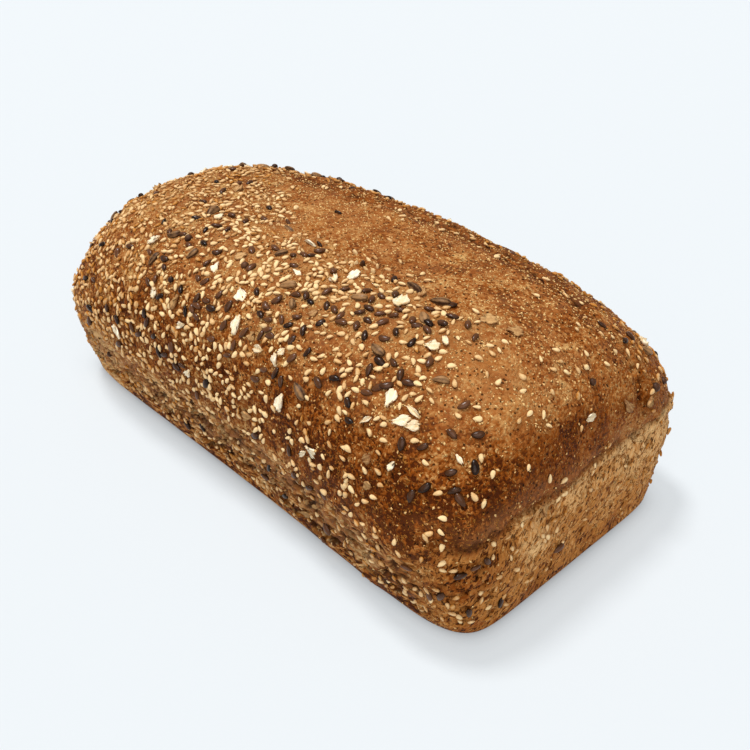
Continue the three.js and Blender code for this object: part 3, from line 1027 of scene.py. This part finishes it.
def fine_relief(points, sizes):
    """Relief finer than the solid's, and how dark the shade painted into its hollows is."""
    form = points - SETTLED
    x, _, z = form.T
    ends, tin = end_share(points), tin_share(points)
    grain = sizes.grain / MM * (lumps(points, COARSE_GRAIN, 2) + 0.7 * lumps(points, FINE_GRAIN, 1))

    # Slanting open pores on the end faces
    strands = points.copy()
    strands[:, 1] = (points[:, 1] + points[:, 2]) * PORE_ALONG
    strands[:, 2] = (points[:, 2] - points[:, 1]) * PORE_ACROSS
    near, pick = cells(strands, PORE_SPACING)
    pores = tin * ends * smoothstep(0.55, 0.15, near) * smoothstep(0.45, 0.65, pick)

    # Level strata of torn crumb on the long sides, worst along the low torn line, with open holes
    strata = np.abs(lumps(points * STRATA_DRAWN, STRATUM, 3))
    torn_line = SHRED_HEIGHT + TORN_LINE_RISE + TORN_LINE_SWAY * wave(x, TORN_LINE_SWAY_LENGTH)
    belt = bump(z - torn_line, TORN_LINE_HALF_WIDTH)
    crags = np.maximum(belt, 0.75 * band_share(CRAGS_BAND, z))
    torn = (1.0 - ends) * crags * 2.6 * strata
    near, pick = cells(points * HOLES_DRAWN + HOLE_SHIFT, HOLE_SPACING)
    holes = tin * (1.0 - ends) * smoothstep(0.5, 0.15, near) * smoothstep(0.52, 0.6, pick + 0.16 * belt)

    # Ragged lips along the split of the back shoulder, and a torn strip behind it
    strip = zone_share(TORN_STRIP_ZONE, form) * band_share(TORN_STRIP_BAND, crack_line(points))
    rags = np.maximum(crack_share(points), 0.8 * strip) * lumps(points * RAGS_DRAWN + RAG_SHIFT, RAG, 3)
    height = grain - sizes.pore / MM * (pores + holes) + RAG_HEIGHT * rags

    # Frayed lip and furrow along the torn edge of the top crust, and the depth of the crags
    frayed = above_edge(points) + FRAY * lumps(points, COARSE_GRAIN, 2)
    furrow = ends * band_share(FURROW_BAND, frayed)
    lip = ends * band_share(FRAYED_LIP_BAND, frayed) * (0.5 + lumps(points, LIP_LUMP, 2))
    height += lip - FURROW_DEPTH * furrow
    height -= sizes.crag / MM * (torn - 0.5 * crags * (1.0 - ends))
    # Painted shade in the pores, holes, crags, rags and furrow
    pit = weighed(PIT_SHADES, {
        "pores": pores, "holes": holes, "crags": smoothstep(0.25, 0.7, torn),
        "rags": smoothstep(0.08, 0.3, -rags), "furrow": furrow})
    return height * smoothstep(*RELIEF_FADE, z), np.clip(pit * smoothstep(*PIT_FADE, z), 0.0, PIT_MOST)


class LOAF_OT_crust(bpy.types.Operator):
    """Press out the loaf's crust with its relief and baked zones"""

    bl_idname = "loaf.crust"
    bl_label = "Baked crust"

    def execute(self, context):
        sizes = context.scene.loaf.sizes
        box, quads = lattice_shell(sizes.mesh_step / MM)
        smooth = press_to_form(box)
        normals = quad_normals(smooth, quads)
        heights, pit = fine_relief(smooth, sizes)
        points = smooth + normals * (heights + solid_relief(smooth))[:, None]
        points[:, 2] = np.maximum(points[:, 2], 0.0)
        dress(new_piece("crust", points, quads, baked_crust(), pit=pit, **crust_zones(smooth)))
        return {"FINISHED"}


# Toppings

def crust_ground():
    """Points and quads of the crust, in millimetres."""
    mesh = bpy.data.objects["crust"].data
    points = np.empty(3 * len(mesh.vertices))
    mesh.vertices.foreach_get("co", points)
    quads = np.empty(len(mesh.loops), int)
    mesh.loops.foreach_get("vertex_index", quads)
    return points.reshape(-1, 3) / MM, quads.reshape(-1, 4)


def scatter(count, density, spacing, rng, taken):
    """Spots on the crust, drawn by a density and kept apart from each other and from taken spots."""
    points, quads = crust_ground()
    a, b, c, d = (points[quads[:, k]] for k in range(4))
    area = np.linalg.norm(np.cross(c - a, d - b), axis=1) / 2
    weight = area * np.maximum(density((a + b + c + d) / 4), 0.0)
    picked = rng.choice(len(quads), 3 * count, p=weight / weight.sum())
    u, v = rng.random((2, len(picked), 1))
    spots = (a[picked] * (1 - u) + b[picked] * u) * (1 - v) + (d[picked] * (1 - u) + c[picked] * u) * v
    kept = np.empty((count, 3))
    number = 0
    for spot in spots:
        gap = spacing * rng.uniform(0.6, 1.2)
        clear = number == 0 or np.min(np.sum((kept[:number] - spot) ** 2, axis=1)) > gap ** 2
        if clear and all(np.min(np.sum((t[0] - spot) ** 2, axis=1)) > (0.7 * t[1]) ** 2 for t in taken):
            kept[number] = spot
            number += 1
            if number == count:
                break
    return kept[:number]


def sighted(pixels):
    """Spots on the crust that the photograph's camera sees at these pixels."""
    points, quads = crust_ground()
    tree = BVHTree.FromPolygons(points.tolist(), quads.tolist())
    eye, right, up, back = camera_axes()
    spots = []
    for column, row in pixels:
        side = (column - IMAGE_SIDE / 2) / FOCAL_PIXELS
        rise = (IMAGE_SIDE / 2 - row) / FOCAL_PIXELS
        spot = tree.ray_cast(Vector(eye), Vector(right * side + up * rise - back))[0]
        if spot is None:
            raise ValueError(f"no crust is seen at pixel {column}, {row}")
        spots.append(spot)
    return np.array(spots)


def lie(spots, headings, rolls, pitches):
    """Axes of toppings that lie on the crust: along, across and up, for each spot."""
    up = form_normals(spots)
    along = headings - up * np.sum(headings * up, axis=1, keepdims=True)
    along /= np.linalg.norm(along, axis=1, keepdims=True)
    across = np.cross(up, along)
    roll, pitch = rolls[:, None], pitches[:, None]
    across, up = across * np.cos(roll) + up * np.sin(roll), up * np.cos(roll) - across * np.sin(roll)
    along, up = along * np.cos(pitch) + up * np.sin(pitch), up * np.cos(pitch) - along * np.sin(pitch)
    return np.stack((along, across, up), axis=1)


def join_copies(shell, faces, spots, axes, sizes, bends):
    """One mesh of many copies of a shell of unit size, each with its own place, axes, sizes and bend."""
    copies = np.repeat(shell[None], len(spots), axis=0)
    copies[:, :, 1] += bends[:, None] * shell[:, 0] ** 2
    points = np.einsum("npi,nij->npj", copies * sizes[:, None, :], axes) + spots[:, None, :]
    offsets = len(shell) * np.arange(len(spots))
    return points.reshape(-1, 3), (faces + offsets[:, None, None]).reshape(-1, 3)


def seed_shell(sides, rings, point, blunt, rim, ribs=0):
    """Closed seed of unit size along X, and its tones, darker round its rim, partly as a toasted edge and
    partly as painted shade: pointed to blunt, with a rim and ribs along it.
    """
    share = (1.0 - np.cos(math.pi * np.arange(1, rings + 1) / (rings + 1))) / 2
    half = share ** point * (1.0 - share) ** blunt
    half *= 0.5 / half.max()
    turn = 2.0 * math.pi * np.arange(sides) / sides
    rib = np.cos(ribs * turn) if ribs else np.zeros(sides)
    wide = np.cos(turn) * (1.0 + 0.07 * rib)
    thick = np.sign(np.sin(turn)) * np.abs(np.sin(turn)) ** (1.0 + rim) * (1.0 + 0.07 * rib)
    ring = (np.repeat(share - 0.5, sides), np.outer(half, wide).ravel(), np.outer(half, thick).ravel())
    points = np.vstack((np.stack(ring, axis=1), (-0.5, 0.0, 0.0), (0.5, 0.0, 0.0)))
    tip, end = sides * rings, sides * rings + 1
    faces = []
    for k in range(sides):
        n = (k + 1) % sides
        faces.append((tip, n, k))
        faces.append((end, (rings - 1) * sides + k, (rings - 1) * sides + n))
        for r in range(rings - 1):
            low, high = r * sides, (r + 1) * sides
            faces += [(low + k, low + n, high + n), (low + k, high + n, high + k)]
    # Darker round the rim between the two faces: partly a toasted edge, partly painted shade on the flanks
    tones = 0.45 - 0.45 * np.clip(2.0 * np.abs(points[:, 2]), 0.0, 1.0)
    tones[:tip] -= 0.3 * np.tile(rib, rings)
    return points, np.array(faces), tones


def rolled_flake(rows, columns, rng):
    """Closed thin flake of unit size in X and Y, and its tones: fibres along X that end raggedly."""
    across = np.linspace(-1.0, 1.0, rows)[:, None]
    along = np.linspace(-1.0, 1.0, columns)[None, :]
    ends = np.sqrt(1.0 - 0.85 * across ** 2) * rng.uniform(0.72, 1.12, (rows, 2))
    x = 0.5 * along * np.where(along < 0.0, ends[:, :1], ends[:, 1:])
    y = 0.5 * across * (1.0 + rng.uniform(-0.4, 0.4) * along) * (1.0 - 0.15 * along ** 2)
    ridge = 0.3 * (-1.0) ** np.arange(rows)[:, None] * rng.uniform(0.4, 1.4, (rows, 1))
    groove = bump(across, 0.12)
    warp = rng.uniform(-0.5, 0.8) * across ** 2 + rng.uniform(-0.7, 0.7) * along * across
    warp += rng.uniform(-0.3, 0.5) * along ** 2
    top = 0.4 + ridge - 0.5 * groove + warp
    under = top - 0.75
    half = rows * columns
    points = np.stack((np.tile(x.ravel(), 2), np.tile(y.ravel(), 2),
                       np.concatenate((top.ravel(), under.ravel()))), axis=1)
    tone = 0.3 * (ridge < 0.0) + 0.3 * groove + 0.25 * np.abs(along) ** 4
    grid = np.arange(half).reshape(rows, columns)
    a, b, c, d = grid[:-1, :-1].ravel(), grid[:-1, 1:].ravel(), grid[1:, 1:].ravel(), grid[1:, :-1].ravel()
    upper = np.vstack((np.stack((a, b, c), 1), np.stack((a, c, d), 1)))
    rim = np.concatenate((grid[0], grid[1:, -1], grid[-1, -2::-1], grid[-2:0:-1, 0]))
    ahead = np.roll(rim, -1)
    sides = np.vstack((
        np.stack((rim, rim + half, ahead + half), 1), np.stack((rim, ahead + half, ahead), 1)))
    return points, np.vstack((upper, upper[:, ::-1] + half, sides)), np.tile(tone.ravel(), 2)


def photo_headings(pixels, angles):
    """Directions on the crust that run at these angles in the photograph, in degrees."""
    reach = 4.0
    ahead = [(c + reach * math.cos(math.radians(a)), r - reach * math.sin(math.radians(a)))
             for (c, r), a in zip(pixels, angles)]
    return sighted(ahead) - sighted(pixels)


def any_headings(count, rng):
    """Directions drawn evenly all round."""
    directions = rng.normal(size=(count, 3))
    return directions / np.linalg.norm(directions, axis=1, keepdims=True)


def seeded_share(points):
    """How thickly seeds lie, in clumps: most over the far end and along the front of the top."""
    x, y, _ = points.T
    zone = {name: zone_share(stretch, points) for name, stretch in SEED_ZONES.items()}
    limit = SEED_LIMIT + SEED_LIMIT_GAIN * zone["far_limit"]
    front = smoothstep(limit + SEED_LIMIT_BLEND, limit - SEED_LIMIT_BLEND, y)
    zone["whole"] = 1.0
    zone["heap"] = band_share(HEAP_BAND, x)
    zone["strip"] *= band_share(STRIP_BAND, y)
    front *= weighed(FRONT_SEEDING, zone) * (1.0 - 0.55 * zone["low_front"])
    back = zone["back"] * weighed(BACK_SEEDING, zone)
    seeded = np.maximum(np.maximum(front, back), weighed(BARE_SEEDING, zone))
    clumps = 0.2 + 1.5 * smoothstep(-0.2, 0.35, lumps(points, CLUMP, 2))
    wall = zone["wall"] * (0.6 + 0.3 * zone["far_wall"])
    return seeded * clumps * zone["foot"] * (1.0 - wall) * (1.0 - 0.85 * zone["near_face"])


def unseen(points):
    """1 where the photograph's camera can't see the loaf, and 0 where it can."""
    eye = camera_axes()[0]
    facing = np.sum(form_normals(points) * (eye - points), axis=1)
    return (facing < 0.0).astype(float)


def hidden_share(points):
    """How thickly toppings lie where the photograph can't see them."""
    return unseen(points) * seeded_share(points)


# Spots of the toppings laid so far, and the width that each kind takes up
SEATED = []


def paint_seat_shade(spots, reach):
    """Paints shade into the crust close round each topping, darkest right under it."""
    seats = KDTree(len(spots))
    for number, spot in enumerate(spots):
        seats.insert(spot, number)
    seats.balance()
    gaps = np.array([seats.find(point)[2] for point in crust_ground()[0]])
    pit = bpy.data.objects["crust"].data.attributes["pit"].data
    depth = np.empty(len(gaps))
    pit.foreach_get("value", depth)
    pit.foreach_set("value", np.maximum(depth, SEAT_SHADE_DEPTH * bump(gaps, reach)).astype(np.float32))


def lay_seeds(name, seed, material, spots, headings, sizes, sink, tilt, tones, rng):
    """Lays copies of a seed on the crust as one piece, and keeps their places."""
    shell, faces, shell_tones_and_shade = seed
    count = len(spots)
    axes = lie(spots, headings, rng.normal(0.0, tilt, count), rng.normal(0.0, 0.5 * tilt, count))
    lift = sizes[:, 2:] * (0.5 - sink - rng.uniform(-0.12, 0.12, (count, 1)))
    bends = rng.normal(0.0, 0.4, count)
    points, triangles = join_copies(shell, faces, spots + form_normals(spots) * lift, axes, sizes, bends)
    tone = (tones[:, None] + shell_tones_and_shade).ravel()
    dress(new_piece(name, points, triangles, material, tone=tone))
    SEATED.append((spots, float(np.mean(sizes[:, :2]))))


def lay_flakes(name, spots, headings, sizes, material, tone, rng):
    """Lays rolled flakes on the crust as one piece, each of its own form, keeps their places, and paints
    shade into the crust round them.
    """
    axes = lie(spots, headings, rng.normal(0.0, 0.15, len(spots)), rng.normal(0.0, 0.10, len(spots)))
    spots = spots + 0.35 * form_normals(spots)
    points, triangles, tones = [], [], []
    for number in range(len(spots)):
        flake, faces, shades = rolled_flake(9, 9, rng)
        triangles.append(faces + number * len(flake))
        points.append((flake * sizes[number]) @ axes[number] + spots[number])
        tones.append(shades + rng.uniform(0.0, tone))
    dress(new_piece(name, np.vstack(points), np.vstack(triangles), material, tone=np.concatenate(tones)))
    SEATED.append((spots, FLAKE_CLEARANCE))
    # Painted shade in the crust round each flake
    paint_seat_shade(spots, FLAKE_SEAT_SHADE)


def seen_and_hidden(seen, hidden_count, rng):
    """Spots, headings and sizes of flakes: those of the photograph, and others where it can't see."""
    pixels = [(column, row) for column, row, *_ in seen.values()]
    hidden = scatter(hidden_count, hidden_share, spacing=8.0, rng=rng, taken=SEATED)
    length = bpy.context.scene.loaf.toppings.flake_length / MM * rng.uniform(0.7, 1.15, len(hidden))
    sizes = [(long, wide, FLAKE_THICKNESS) for _, _, _, long, wide in seen.values()]
    sizes += [(long, long * rng.uniform(0.4, 0.65), FLAKE_THICKNESS) for long in length]
    headings = photo_headings(pixels, [heading for _, _, heading, _, _ in seen.values()])
    headings = np.vstack((headings, any_headings(len(hidden), rng)))
    return np.vstack((sighted(pixels), hidden)), headings, sizes


class LOAF_OT_oat_flakes(bpy.types.Operator):
    """Lay the rolled oat flakes"""

    bl_idname = "loaf.oat_flakes"
    bl_label = "Oat flakes"

    def execute(self, context):
        settings = context.scene.loaf
        colours = settings.colours
        # Rolled oat grain: chalky and pale, browner in its grooves
        material = seed_coat(
            "oat_grain_rolled", colours.oat, colours.oat_shade, roughness=0.65, gloss=0.15, grain=0.8)
        rng = np.random.default_rng(DRAWS["oat_flakes"])
        flakes = seen_and_hidden(OAT_FLAKES, settings.toppings.oat_count, rng)
        lay_flakes("oat_flakes", *flakes, material, tone=0.3, rng=rng)
        return {"FINISHED"}


class LOAF_OT_wheat_flakes(bpy.types.Operator):
    """Lay the browner wheat flakes"""

    bl_idname = "loaf.wheat_flakes"
    bl_label = "Wheat flakes"

    def execute(self, context):
        settings = context.scene.loaf
        colours = settings.colours
        # Rolled wheat grain: dull tan, some of it toasted
        material = seed_coat(
            "wheat_grain_rolled", colours.wheat, colours.wheat_shade, roughness=0.6, gloss=0.15, grain=1.0)
        rng = np.random.default_rng(DRAWS["wheat_flakes"])
        flakes = seen_and_hidden(WHEAT_FLAKES, settings.toppings.wheat_count, rng)
        lay_flakes("wheat_flakes", *flakes, material, tone=0.45, rng=rng)
        return {"FINISHED"}


class LOAF_OT_husks(bpy.types.Operator):
    """Lay the slender husks that hang along the torn long sides"""

    bl_idname = "loaf.husks"
    bl_label = "Husks"

    def execute(self, context):
        settings = context.scene.loaf
        colours = settings.colours
        rng = np.random.default_rng(DRAWS["husks"])

        def torn_sides(points):
            low = band_share(HUSK_BAND, points[:, 2])
            return (1.0 - end_share(points)) * low * (np.abs(points[:, 1]) > HUSK_LEAST_Y)

        spots = scatter(
            settings.toppings.husk_count, torn_sides, spacing=3.0, rng=rng, taken=SEATED)
        headings = rng.normal(0.0, 0.45, (len(spots), 3)) + (1.0, 0.0, 0.0)
        length = settings.toppings.husk_length / MM * rng.uniform(0.5, 1.4, len(spots))
        sizes = np.stack((length, rng.uniform(0.8, 1.7, len(spots)), np.full(len(spots), HUSK_THICKNESS)), 1)
        # Threshed wheat husk: papery and dull
        material = seed_coat(
            "wheat_husk_threshed", colours.wheat, colours.wheat_shade, roughness=0.65, gloss=0.1, grain=1.0)
        lay_flakes("husks", spots, headings, sizes, material, tone=0.7, rng=rng)
        return {"FINISHED"}


class LOAF_OT_sunflower_kernels(bpy.types.Operator):
    """Lay the sunflower kernels"""

    bl_idname = "loaf.sunflower_kernels"
    bl_label = "Sunflower kernels"

    def execute(self, context):
        settings = context.scene.loaf
        rng = np.random.default_rng(DRAWS["sunflower_kernels"])
        pixels = [(column, row) for column, row, _ in KERNELS.values()]
        headings = photo_headings(pixels, [heading for _, _, heading in KERNELS.values()])
        hidden = scatter(
            settings.toppings.kernel_count, hidden_share, spacing=10.0, rng=rng, taken=SEATED)
        spots = np.vstack((sighted(pixels), hidden))
        headings = np.vstack((headings, any_headings(len(hidden), rng)))
        length = settings.toppings.kernel_length / MM * rng.uniform(0.75, 1.1, len(spots))
        sizes = np.stack((length, length * rng.uniform(0.45, 0.55, len(spots)), 0.4 * length), 1)
        seed = seed_shell(sides=20, rings=9, point=0.72, blunt=0.42, rim=0.15, ribs=5)
        colours = settings.colours
        # Hulled sunflower kernel: smooth, greyish tan to brown, in stripes along its ribs
        material = seed_coat(
            "sunflower_kernel_hulled", colours.kernel, colours.kernel_shade,
            roughness=0.4, gloss=0.12, grain=1.2)
        tones = rng.uniform(0.0, 0.7, len(spots))
        lay_seeds(
            "sunflower_kernels", seed, material, spots, headings, sizes,
            sink=0.3, tilt=0.2, tones=tones, rng=rng)
        return {"FINISHED"}


class LOAF_OT_linseeds(bpy.types.Operator):
    """Lay the linseeds, in clusters and singly"""

    bl_idname = "loaf.linseeds"
    bl_label = "Linseeds"

    def execute(self, context):
        settings = context.scene.loaf
        rng = np.random.default_rng(DRAWS["linseeds"])
        clusters = np.array(list(LINSEED_CLUSTERS.values()), float)
        centres = sighted(clusters[:, :2])

        def clustered(points):
            total = np.zeros(len(points))
            for centre, (_, _, spread, count) in zip(centres, clusters):
                total += count / spread ** 2 * bump(np.linalg.norm(points - centre, axis=1), spread)
            return total

        lone = sighted(list(LONE_LINSEEDS.values()))
        spots = scatter(
            int(clusters[:, 3].sum()), clustered, spacing=3.6, rng=rng,
            taken=SEATED + [(lone, LINSEED_CLEARANCE)])
        spots = np.vstack((lone, spots))

        def scattered(points):
            ridge = band_share(RIDGE_BAND, points[:, 1]) * zone_share(LINSEED_RIDGE, points)
            return seeded_share(points) + 0.7 * ridge

        single = scatter(
            settings.toppings.linseed_count, scattered, spacing=5.0, rng=rng,
            taken=SEATED + [(spots, LINSEED_CLEARANCE)])
        spots = np.vstack((spots, single))
        length = settings.toppings.linseed_length / MM * rng.uniform(0.85, 1.12, len(spots))
        sizes = np.stack((length, length * rng.uniform(0.49, 0.57, len(spots)), 0.34 * length), 1)
        seed = seed_shell(sides=10, rings=6, point=0.62, blunt=0.5, rim=0.1)
        colours = settings.colours
        # Linseed coat: slick and brown, with small highlights
        material = seed_coat(
            "linseed_coat_polished", colours.linseed, colours.linseed_shade,
            roughness=0.25, gloss=0.22, grain=2.0)
        tones = rng.uniform(-0.25, 0.85, len(spots))
        lay_seeds(
            "linseeds", seed, material, spots, any_headings(len(spots), rng), sizes,
            sink=0.2, tilt=0.22, tones=tones, rng=rng)
        # Painted shade in the crust round each linseed
        paint_seat_shade(spots, LINSEED_SEAT_SHADE)
        return {"FINISHED"}


class LOAF_OT_round_seeds(bpy.types.Operator):
    """Lay the few round dark seeds"""

    bl_idname = "loaf.round_seeds"
    bl_label = "Round dark seeds"

    def execute(self, context):
        settings = context.scene.loaf
        rng = np.random.default_rng(DRAWS["round_seeds"])
        hidden = scatter(
            settings.toppings.round_count, hidden_share, spacing=6.0, rng=rng, taken=SEATED)
        spots = np.vstack((sighted(list(ROUND_SEEDS.values())), hidden))
        length = settings.toppings.round_length / MM * rng.uniform(0.8, 1.1, len(spots))
        sizes = np.stack((length, 0.95 * length, 0.85 * length), 1)
        seed = seed_shell(sides=10, rings=6, point=0.5, blunt=0.5, rim=0.0)
        colours = settings.colours
        # Dried round seed: dark, with a dull gloss
        material = seed_coat(
            "round_seed_dried", colours.linseed, colours.linseed_shade, roughness=0.5, gloss=0.2, grain=1.0)
        tones = rng.uniform(0.0, 0.8, len(spots))
        lay_seeds(
            "round_seeds", seed, material, spots, any_headings(len(spots), rng), sizes,
            sink=0.35, tilt=0.2, tones=tones, rng=rng)
        return {"FINISHED"}


class LOAF_OT_sesame_seeds(bpy.types.Operator):
    """Scatter the sesame seeds"""

    bl_idname = "loaf.sesame_seeds"
    bl_label = "Sesame seeds"

    def execute(self, context):
        settings = context.scene.loaf
        rng = np.random.default_rng(DRAWS["sesame_seeds"])
        spots = scatter(
            settings.toppings.sesame_count, seeded_share, spacing=2.4, rng=rng, taken=SEATED)
        length = settings.toppings.sesame_length / MM * rng.uniform(0.8, 1.12, len(spots))
        width = length * rng.uniform(0.43, 0.64, len(spots))
        sizes = np.stack((length, width, 0.32 * length), 1)
        seed = seed_shell(sides=8, rings=5, point=0.75, blunt=0.45, rim=-0.45)
        colours = settings.colours
        # Hulled sesame seed: creamy, with a faint oily shine, and toasted here and there
        material = seed_coat(
            "sesame_seed_hulled", colours.sesame, colours.toasted, roughness=0.42, gloss=0.12, grain=0.9)
        toasted = {
            # Far seeds darker: partly toasted, partly painted shade
            "far": zone_share(TOASTED_AND_SHADED_FAR, spots),
            "behind": smoothstep(*TOASTED_BEHIND, crack_line(spots)),
            "low": zone_share(TOASTED_LOW, spots),
        }
        tones = rng.beta(1.2, 2.2, len(spots)) - 0.2 + weighed(TOASTING_AND_SHADE, toasted)
        lay_seeds(
            "sesame_seeds", seed, material, spots, any_headings(len(spots), rng), sizes,
            sink=0.12, tilt=0.3, tones=tones, rng=rng)
        # Painted shade in the crust round each sesame seed
        paint_seat_shade(spots, SESAME_SEAT_SHADE)
        return {"FINISHED"}


class LOAF_OT_bran_flecks(bpy.types.Operator):
    """Scatter fine flecks of bran over the crust"""

    bl_idname = "loaf.bran_flecks"
    bl_label = "Bran flecks"

    def execute(self, context):
        settings = context.scene.loaf
        rng = np.random.default_rng(DRAWS["bran_flecks"])

        def floury(points):
            return zone_share(BRAN_ABOVE_FOOT, points) * (0.35 + 1.6 * zone_share(BRAN_CROWN, points))

        spots = scatter(settings.toppings.fleck_count, floury, spacing=0.7, rng=rng, taken=[])
        length = settings.toppings.fleck_length / MM * rng.uniform(0.5, 1.9, len(spots))
        sizes = np.stack((length, length * rng.uniform(0.35, 0.8, len(spots)), 0.4 * length), 1)
        seed = seed_shell(sides=4, rings=1, point=1.0, blunt=1.0, rim=0.0)
        colours = settings.colours
        # Milled wheat bran: dry pale flecks
        material = seed_coat(
            "wheat_bran_milled", colours.bran, colours.golden, roughness=0.7, gloss=0.1, grain=0.5)
        tones = rng.uniform(-0.7, 0.75, len(spots)) + 0.4 * zone_share(BRAN_DULL, spots)
        lay_seeds(
            "bran_flecks", seed, material, spots, any_headings(len(spots), rng), sizes,
            sink=0.4, tilt=0.4, tones=tones, rng=rng)
        return {"FINISHED"}


# Stage

def camera_axes():
    """Place of the photograph's camera, in millimetres, and its right, up and back directions."""
    azimuth, elevation = math.radians(VIEW_AZIMUTH), math.radians(VIEW_ELEVATION)
    level = math.cos(elevation)
    back = np.array((math.sin(azimuth) * level, -math.cos(azimuth) * level, math.sin(elevation)))
    right = np.array((math.cos(azimuth), math.sin(azimuth), 0.0))
    return VIEW_TARGET + back * VIEW_DISTANCE, right, np.cross(back, right), back


def floor_rings(offsets):
    """Points and quads of a floor in rings round the loaf's foot, and each point's offset from it."""
    points = crust_ground()[0]
    # The rim of the base, without the middle of its fan
    foot = points[(points[:, 2] < 0.01) & (np.abs(points[:, 1]) > 1.0), :2]
    foot = foot[np.argsort(np.arctan2(foot[:, 1], foot[:, 0]))]
    outward = foot - np.stack((np.clip(foot[:, 0], -LENGTH / 4, LENGTH / 4), np.zeros(len(foot))), axis=1)
    outward /= np.linalg.norm(outward, axis=1, keepdims=True)
    rings = [np.column_stack((foot + offset * outward, np.zeros(len(foot)))) for offset in offsets]
    grid = np.arange(len(offsets) * len(foot)).reshape(len(offsets), len(foot))
    ahead = np.roll(grid, -1, axis=1)
    quads = np.stack((grid[:-1], grid[1:], ahead[1:], ahead[:-1]), axis=-1).reshape(-1, 4)
    return np.vstack(rings), quads, np.repeat(offsets, len(foot))


def painted_board():
    """Matt painted board on a light table: pale, without gloss, with a shadow painted into its glow close to
    the foot of the loaf.
    """
    settings = bpy.context.scene.loaf
    material, tree, shader = new_material("painted_board_matt")
    shader.inputs["Base Color"].default_value = linear(settings.colours.floor)
    shader.inputs["Roughness"].default_value = 0.9
    shader.inputs["Emission Color"].default_value = linear(settings.colours.floor)
    share = add_node(tree, "ShaderNodeAttribute", {}, attribute_name="glow").outputs["Fac"]
    glow = add_node(tree, "ShaderNodeMath", {0: share, 1: settings.stage.glow}, operation="MULTIPLY")
    tree.links.new(glow.outputs[0], shader.inputs["Emission Strength"])
    return material


class LOAF_OT_stage(bpy.types.Operator):
    """Set the pale floor, the soft studio light and the camera"""

    bl_idname = "loaf.stage"
    bl_label = "Studio"

    def execute(self, context):
        scene = context.scene
        settings = scene.loaf
        points, quads, offsets = floor_rings(FLOOR_RINGS)
        # A soft shadow painted into the floor's glow round the loaf's foot
        glow = 1.0 - SHADE_DEPTH * np.exp(-np.maximum(offsets, 0.0) / SHADE_REACH)
        new_piece("floor", points, quads, painted_board(), glow=glow)

        world = bpy.data.worlds.new("even_studio")
        scene.world = world
        world.use_nodes = True
        background = world.node_tree.nodes["Background"]
        background.inputs["Color"].default_value = linear(settings.colours.sky)
        background.inputs["Strength"].default_value = settings.stage.sky

        # Each lamp's strength, spread in degrees and direction
        lamps = {
            "overhead_softbox": (settings.stage.key_power, 12.0, (0.33, 0.04, -1.0)),
            "front_softbox": (settings.stage.fill_power, 60.0, (-0.5, 0.47, -0.6)),
        }
        for name, (strength, spread, shines) in lamps.items():
            light = bpy.data.lights.new(name, "SUN")
            light.energy = strength
            light.angle = math.radians(spread)
            lamp = bpy.data.objects.new(name, light)
            lamp.rotation_euler = Vector(shines).to_track_quat("-Z", "Y").to_euler()
            scene.collection.objects.link(lamp)

        place, right, up, back = camera_axes()
        camera = bpy.data.objects.new("camera", bpy.data.cameras.new("camera"))
        camera.data.sensor_width = SENSOR_WIDTH
        camera.data.lens = FOCAL_PIXELS / IMAGE_SIDE * SENSOR_WIDTH
        camera.data.clip_start = 0.01
        turn = Matrix(np.column_stack((right, up, back)).tolist()).to_4x4()
        camera.matrix_world = Matrix.Translation(place * MM) @ turn
        scene.collection.objects.link(camera)
        scene.camera = camera
        scene.view_settings.view_transform = "Standard"
        return {"FINISHED"}


class LOAF_PT_panel(bpy.types.Panel):
    """Buttons that bake the loaf piece by piece"""

    bl_label = "Seeded loaf"
    bl_idname = "LOAF_PT_panel"
    bl_space_type = "VIEW_3D"
    bl_region_type = "UI"
    bl_category = "Loaf"

    def draw(self, context):
        for operator in OPERATORS:
            self.layout.operator(operator.bl_idname)


OPERATORS = (
    LOAF_OT_crust, LOAF_OT_oat_flakes, LOAF_OT_wheat_flakes, LOAF_OT_husks, LOAF_OT_sunflower_kernels,
    LOAF_OT_linseeds, LOAF_OT_round_seeds, LOAF_OT_sesame_seeds, LOAF_OT_bran_flecks, LOAF_OT_stage)
CLASSES = (LoafSizes, LoafToppings, LoafColours, LoafStage, LoafSettings, *OPERATORS, LOAF_PT_panel)


def register():
    """Adds the add-on's classes and the scene's settings."""
    for cls in CLASSES:
        bpy.utils.register_class(cls)
    bpy.types.Scene.loaf = PointerProperty(type=LoafSettings)


def unregister():
    """Takes them away again."""
    del bpy.types.Scene.loaf
    for cls in reversed(CLASSES):
        bpy.utils.unregister_class(cls)


def main():
    """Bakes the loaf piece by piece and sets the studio."""
    register()
    bpy.ops.loaf.crust()
    bpy.ops.loaf.oat_flakes()
    bpy.ops.loaf.wheat_flakes()
    bpy.ops.loaf.husks()
    bpy.ops.loaf.sunflower_kernels()
    bpy.ops.loaf.linseeds()
    bpy.ops.loaf.round_seeds()
    bpy.ops.loaf.sesame_seeds()
    bpy.ops.loaf.bran_flecks()
    bpy.ops.loaf.stage()


if __name__ == "__main__":
    main()
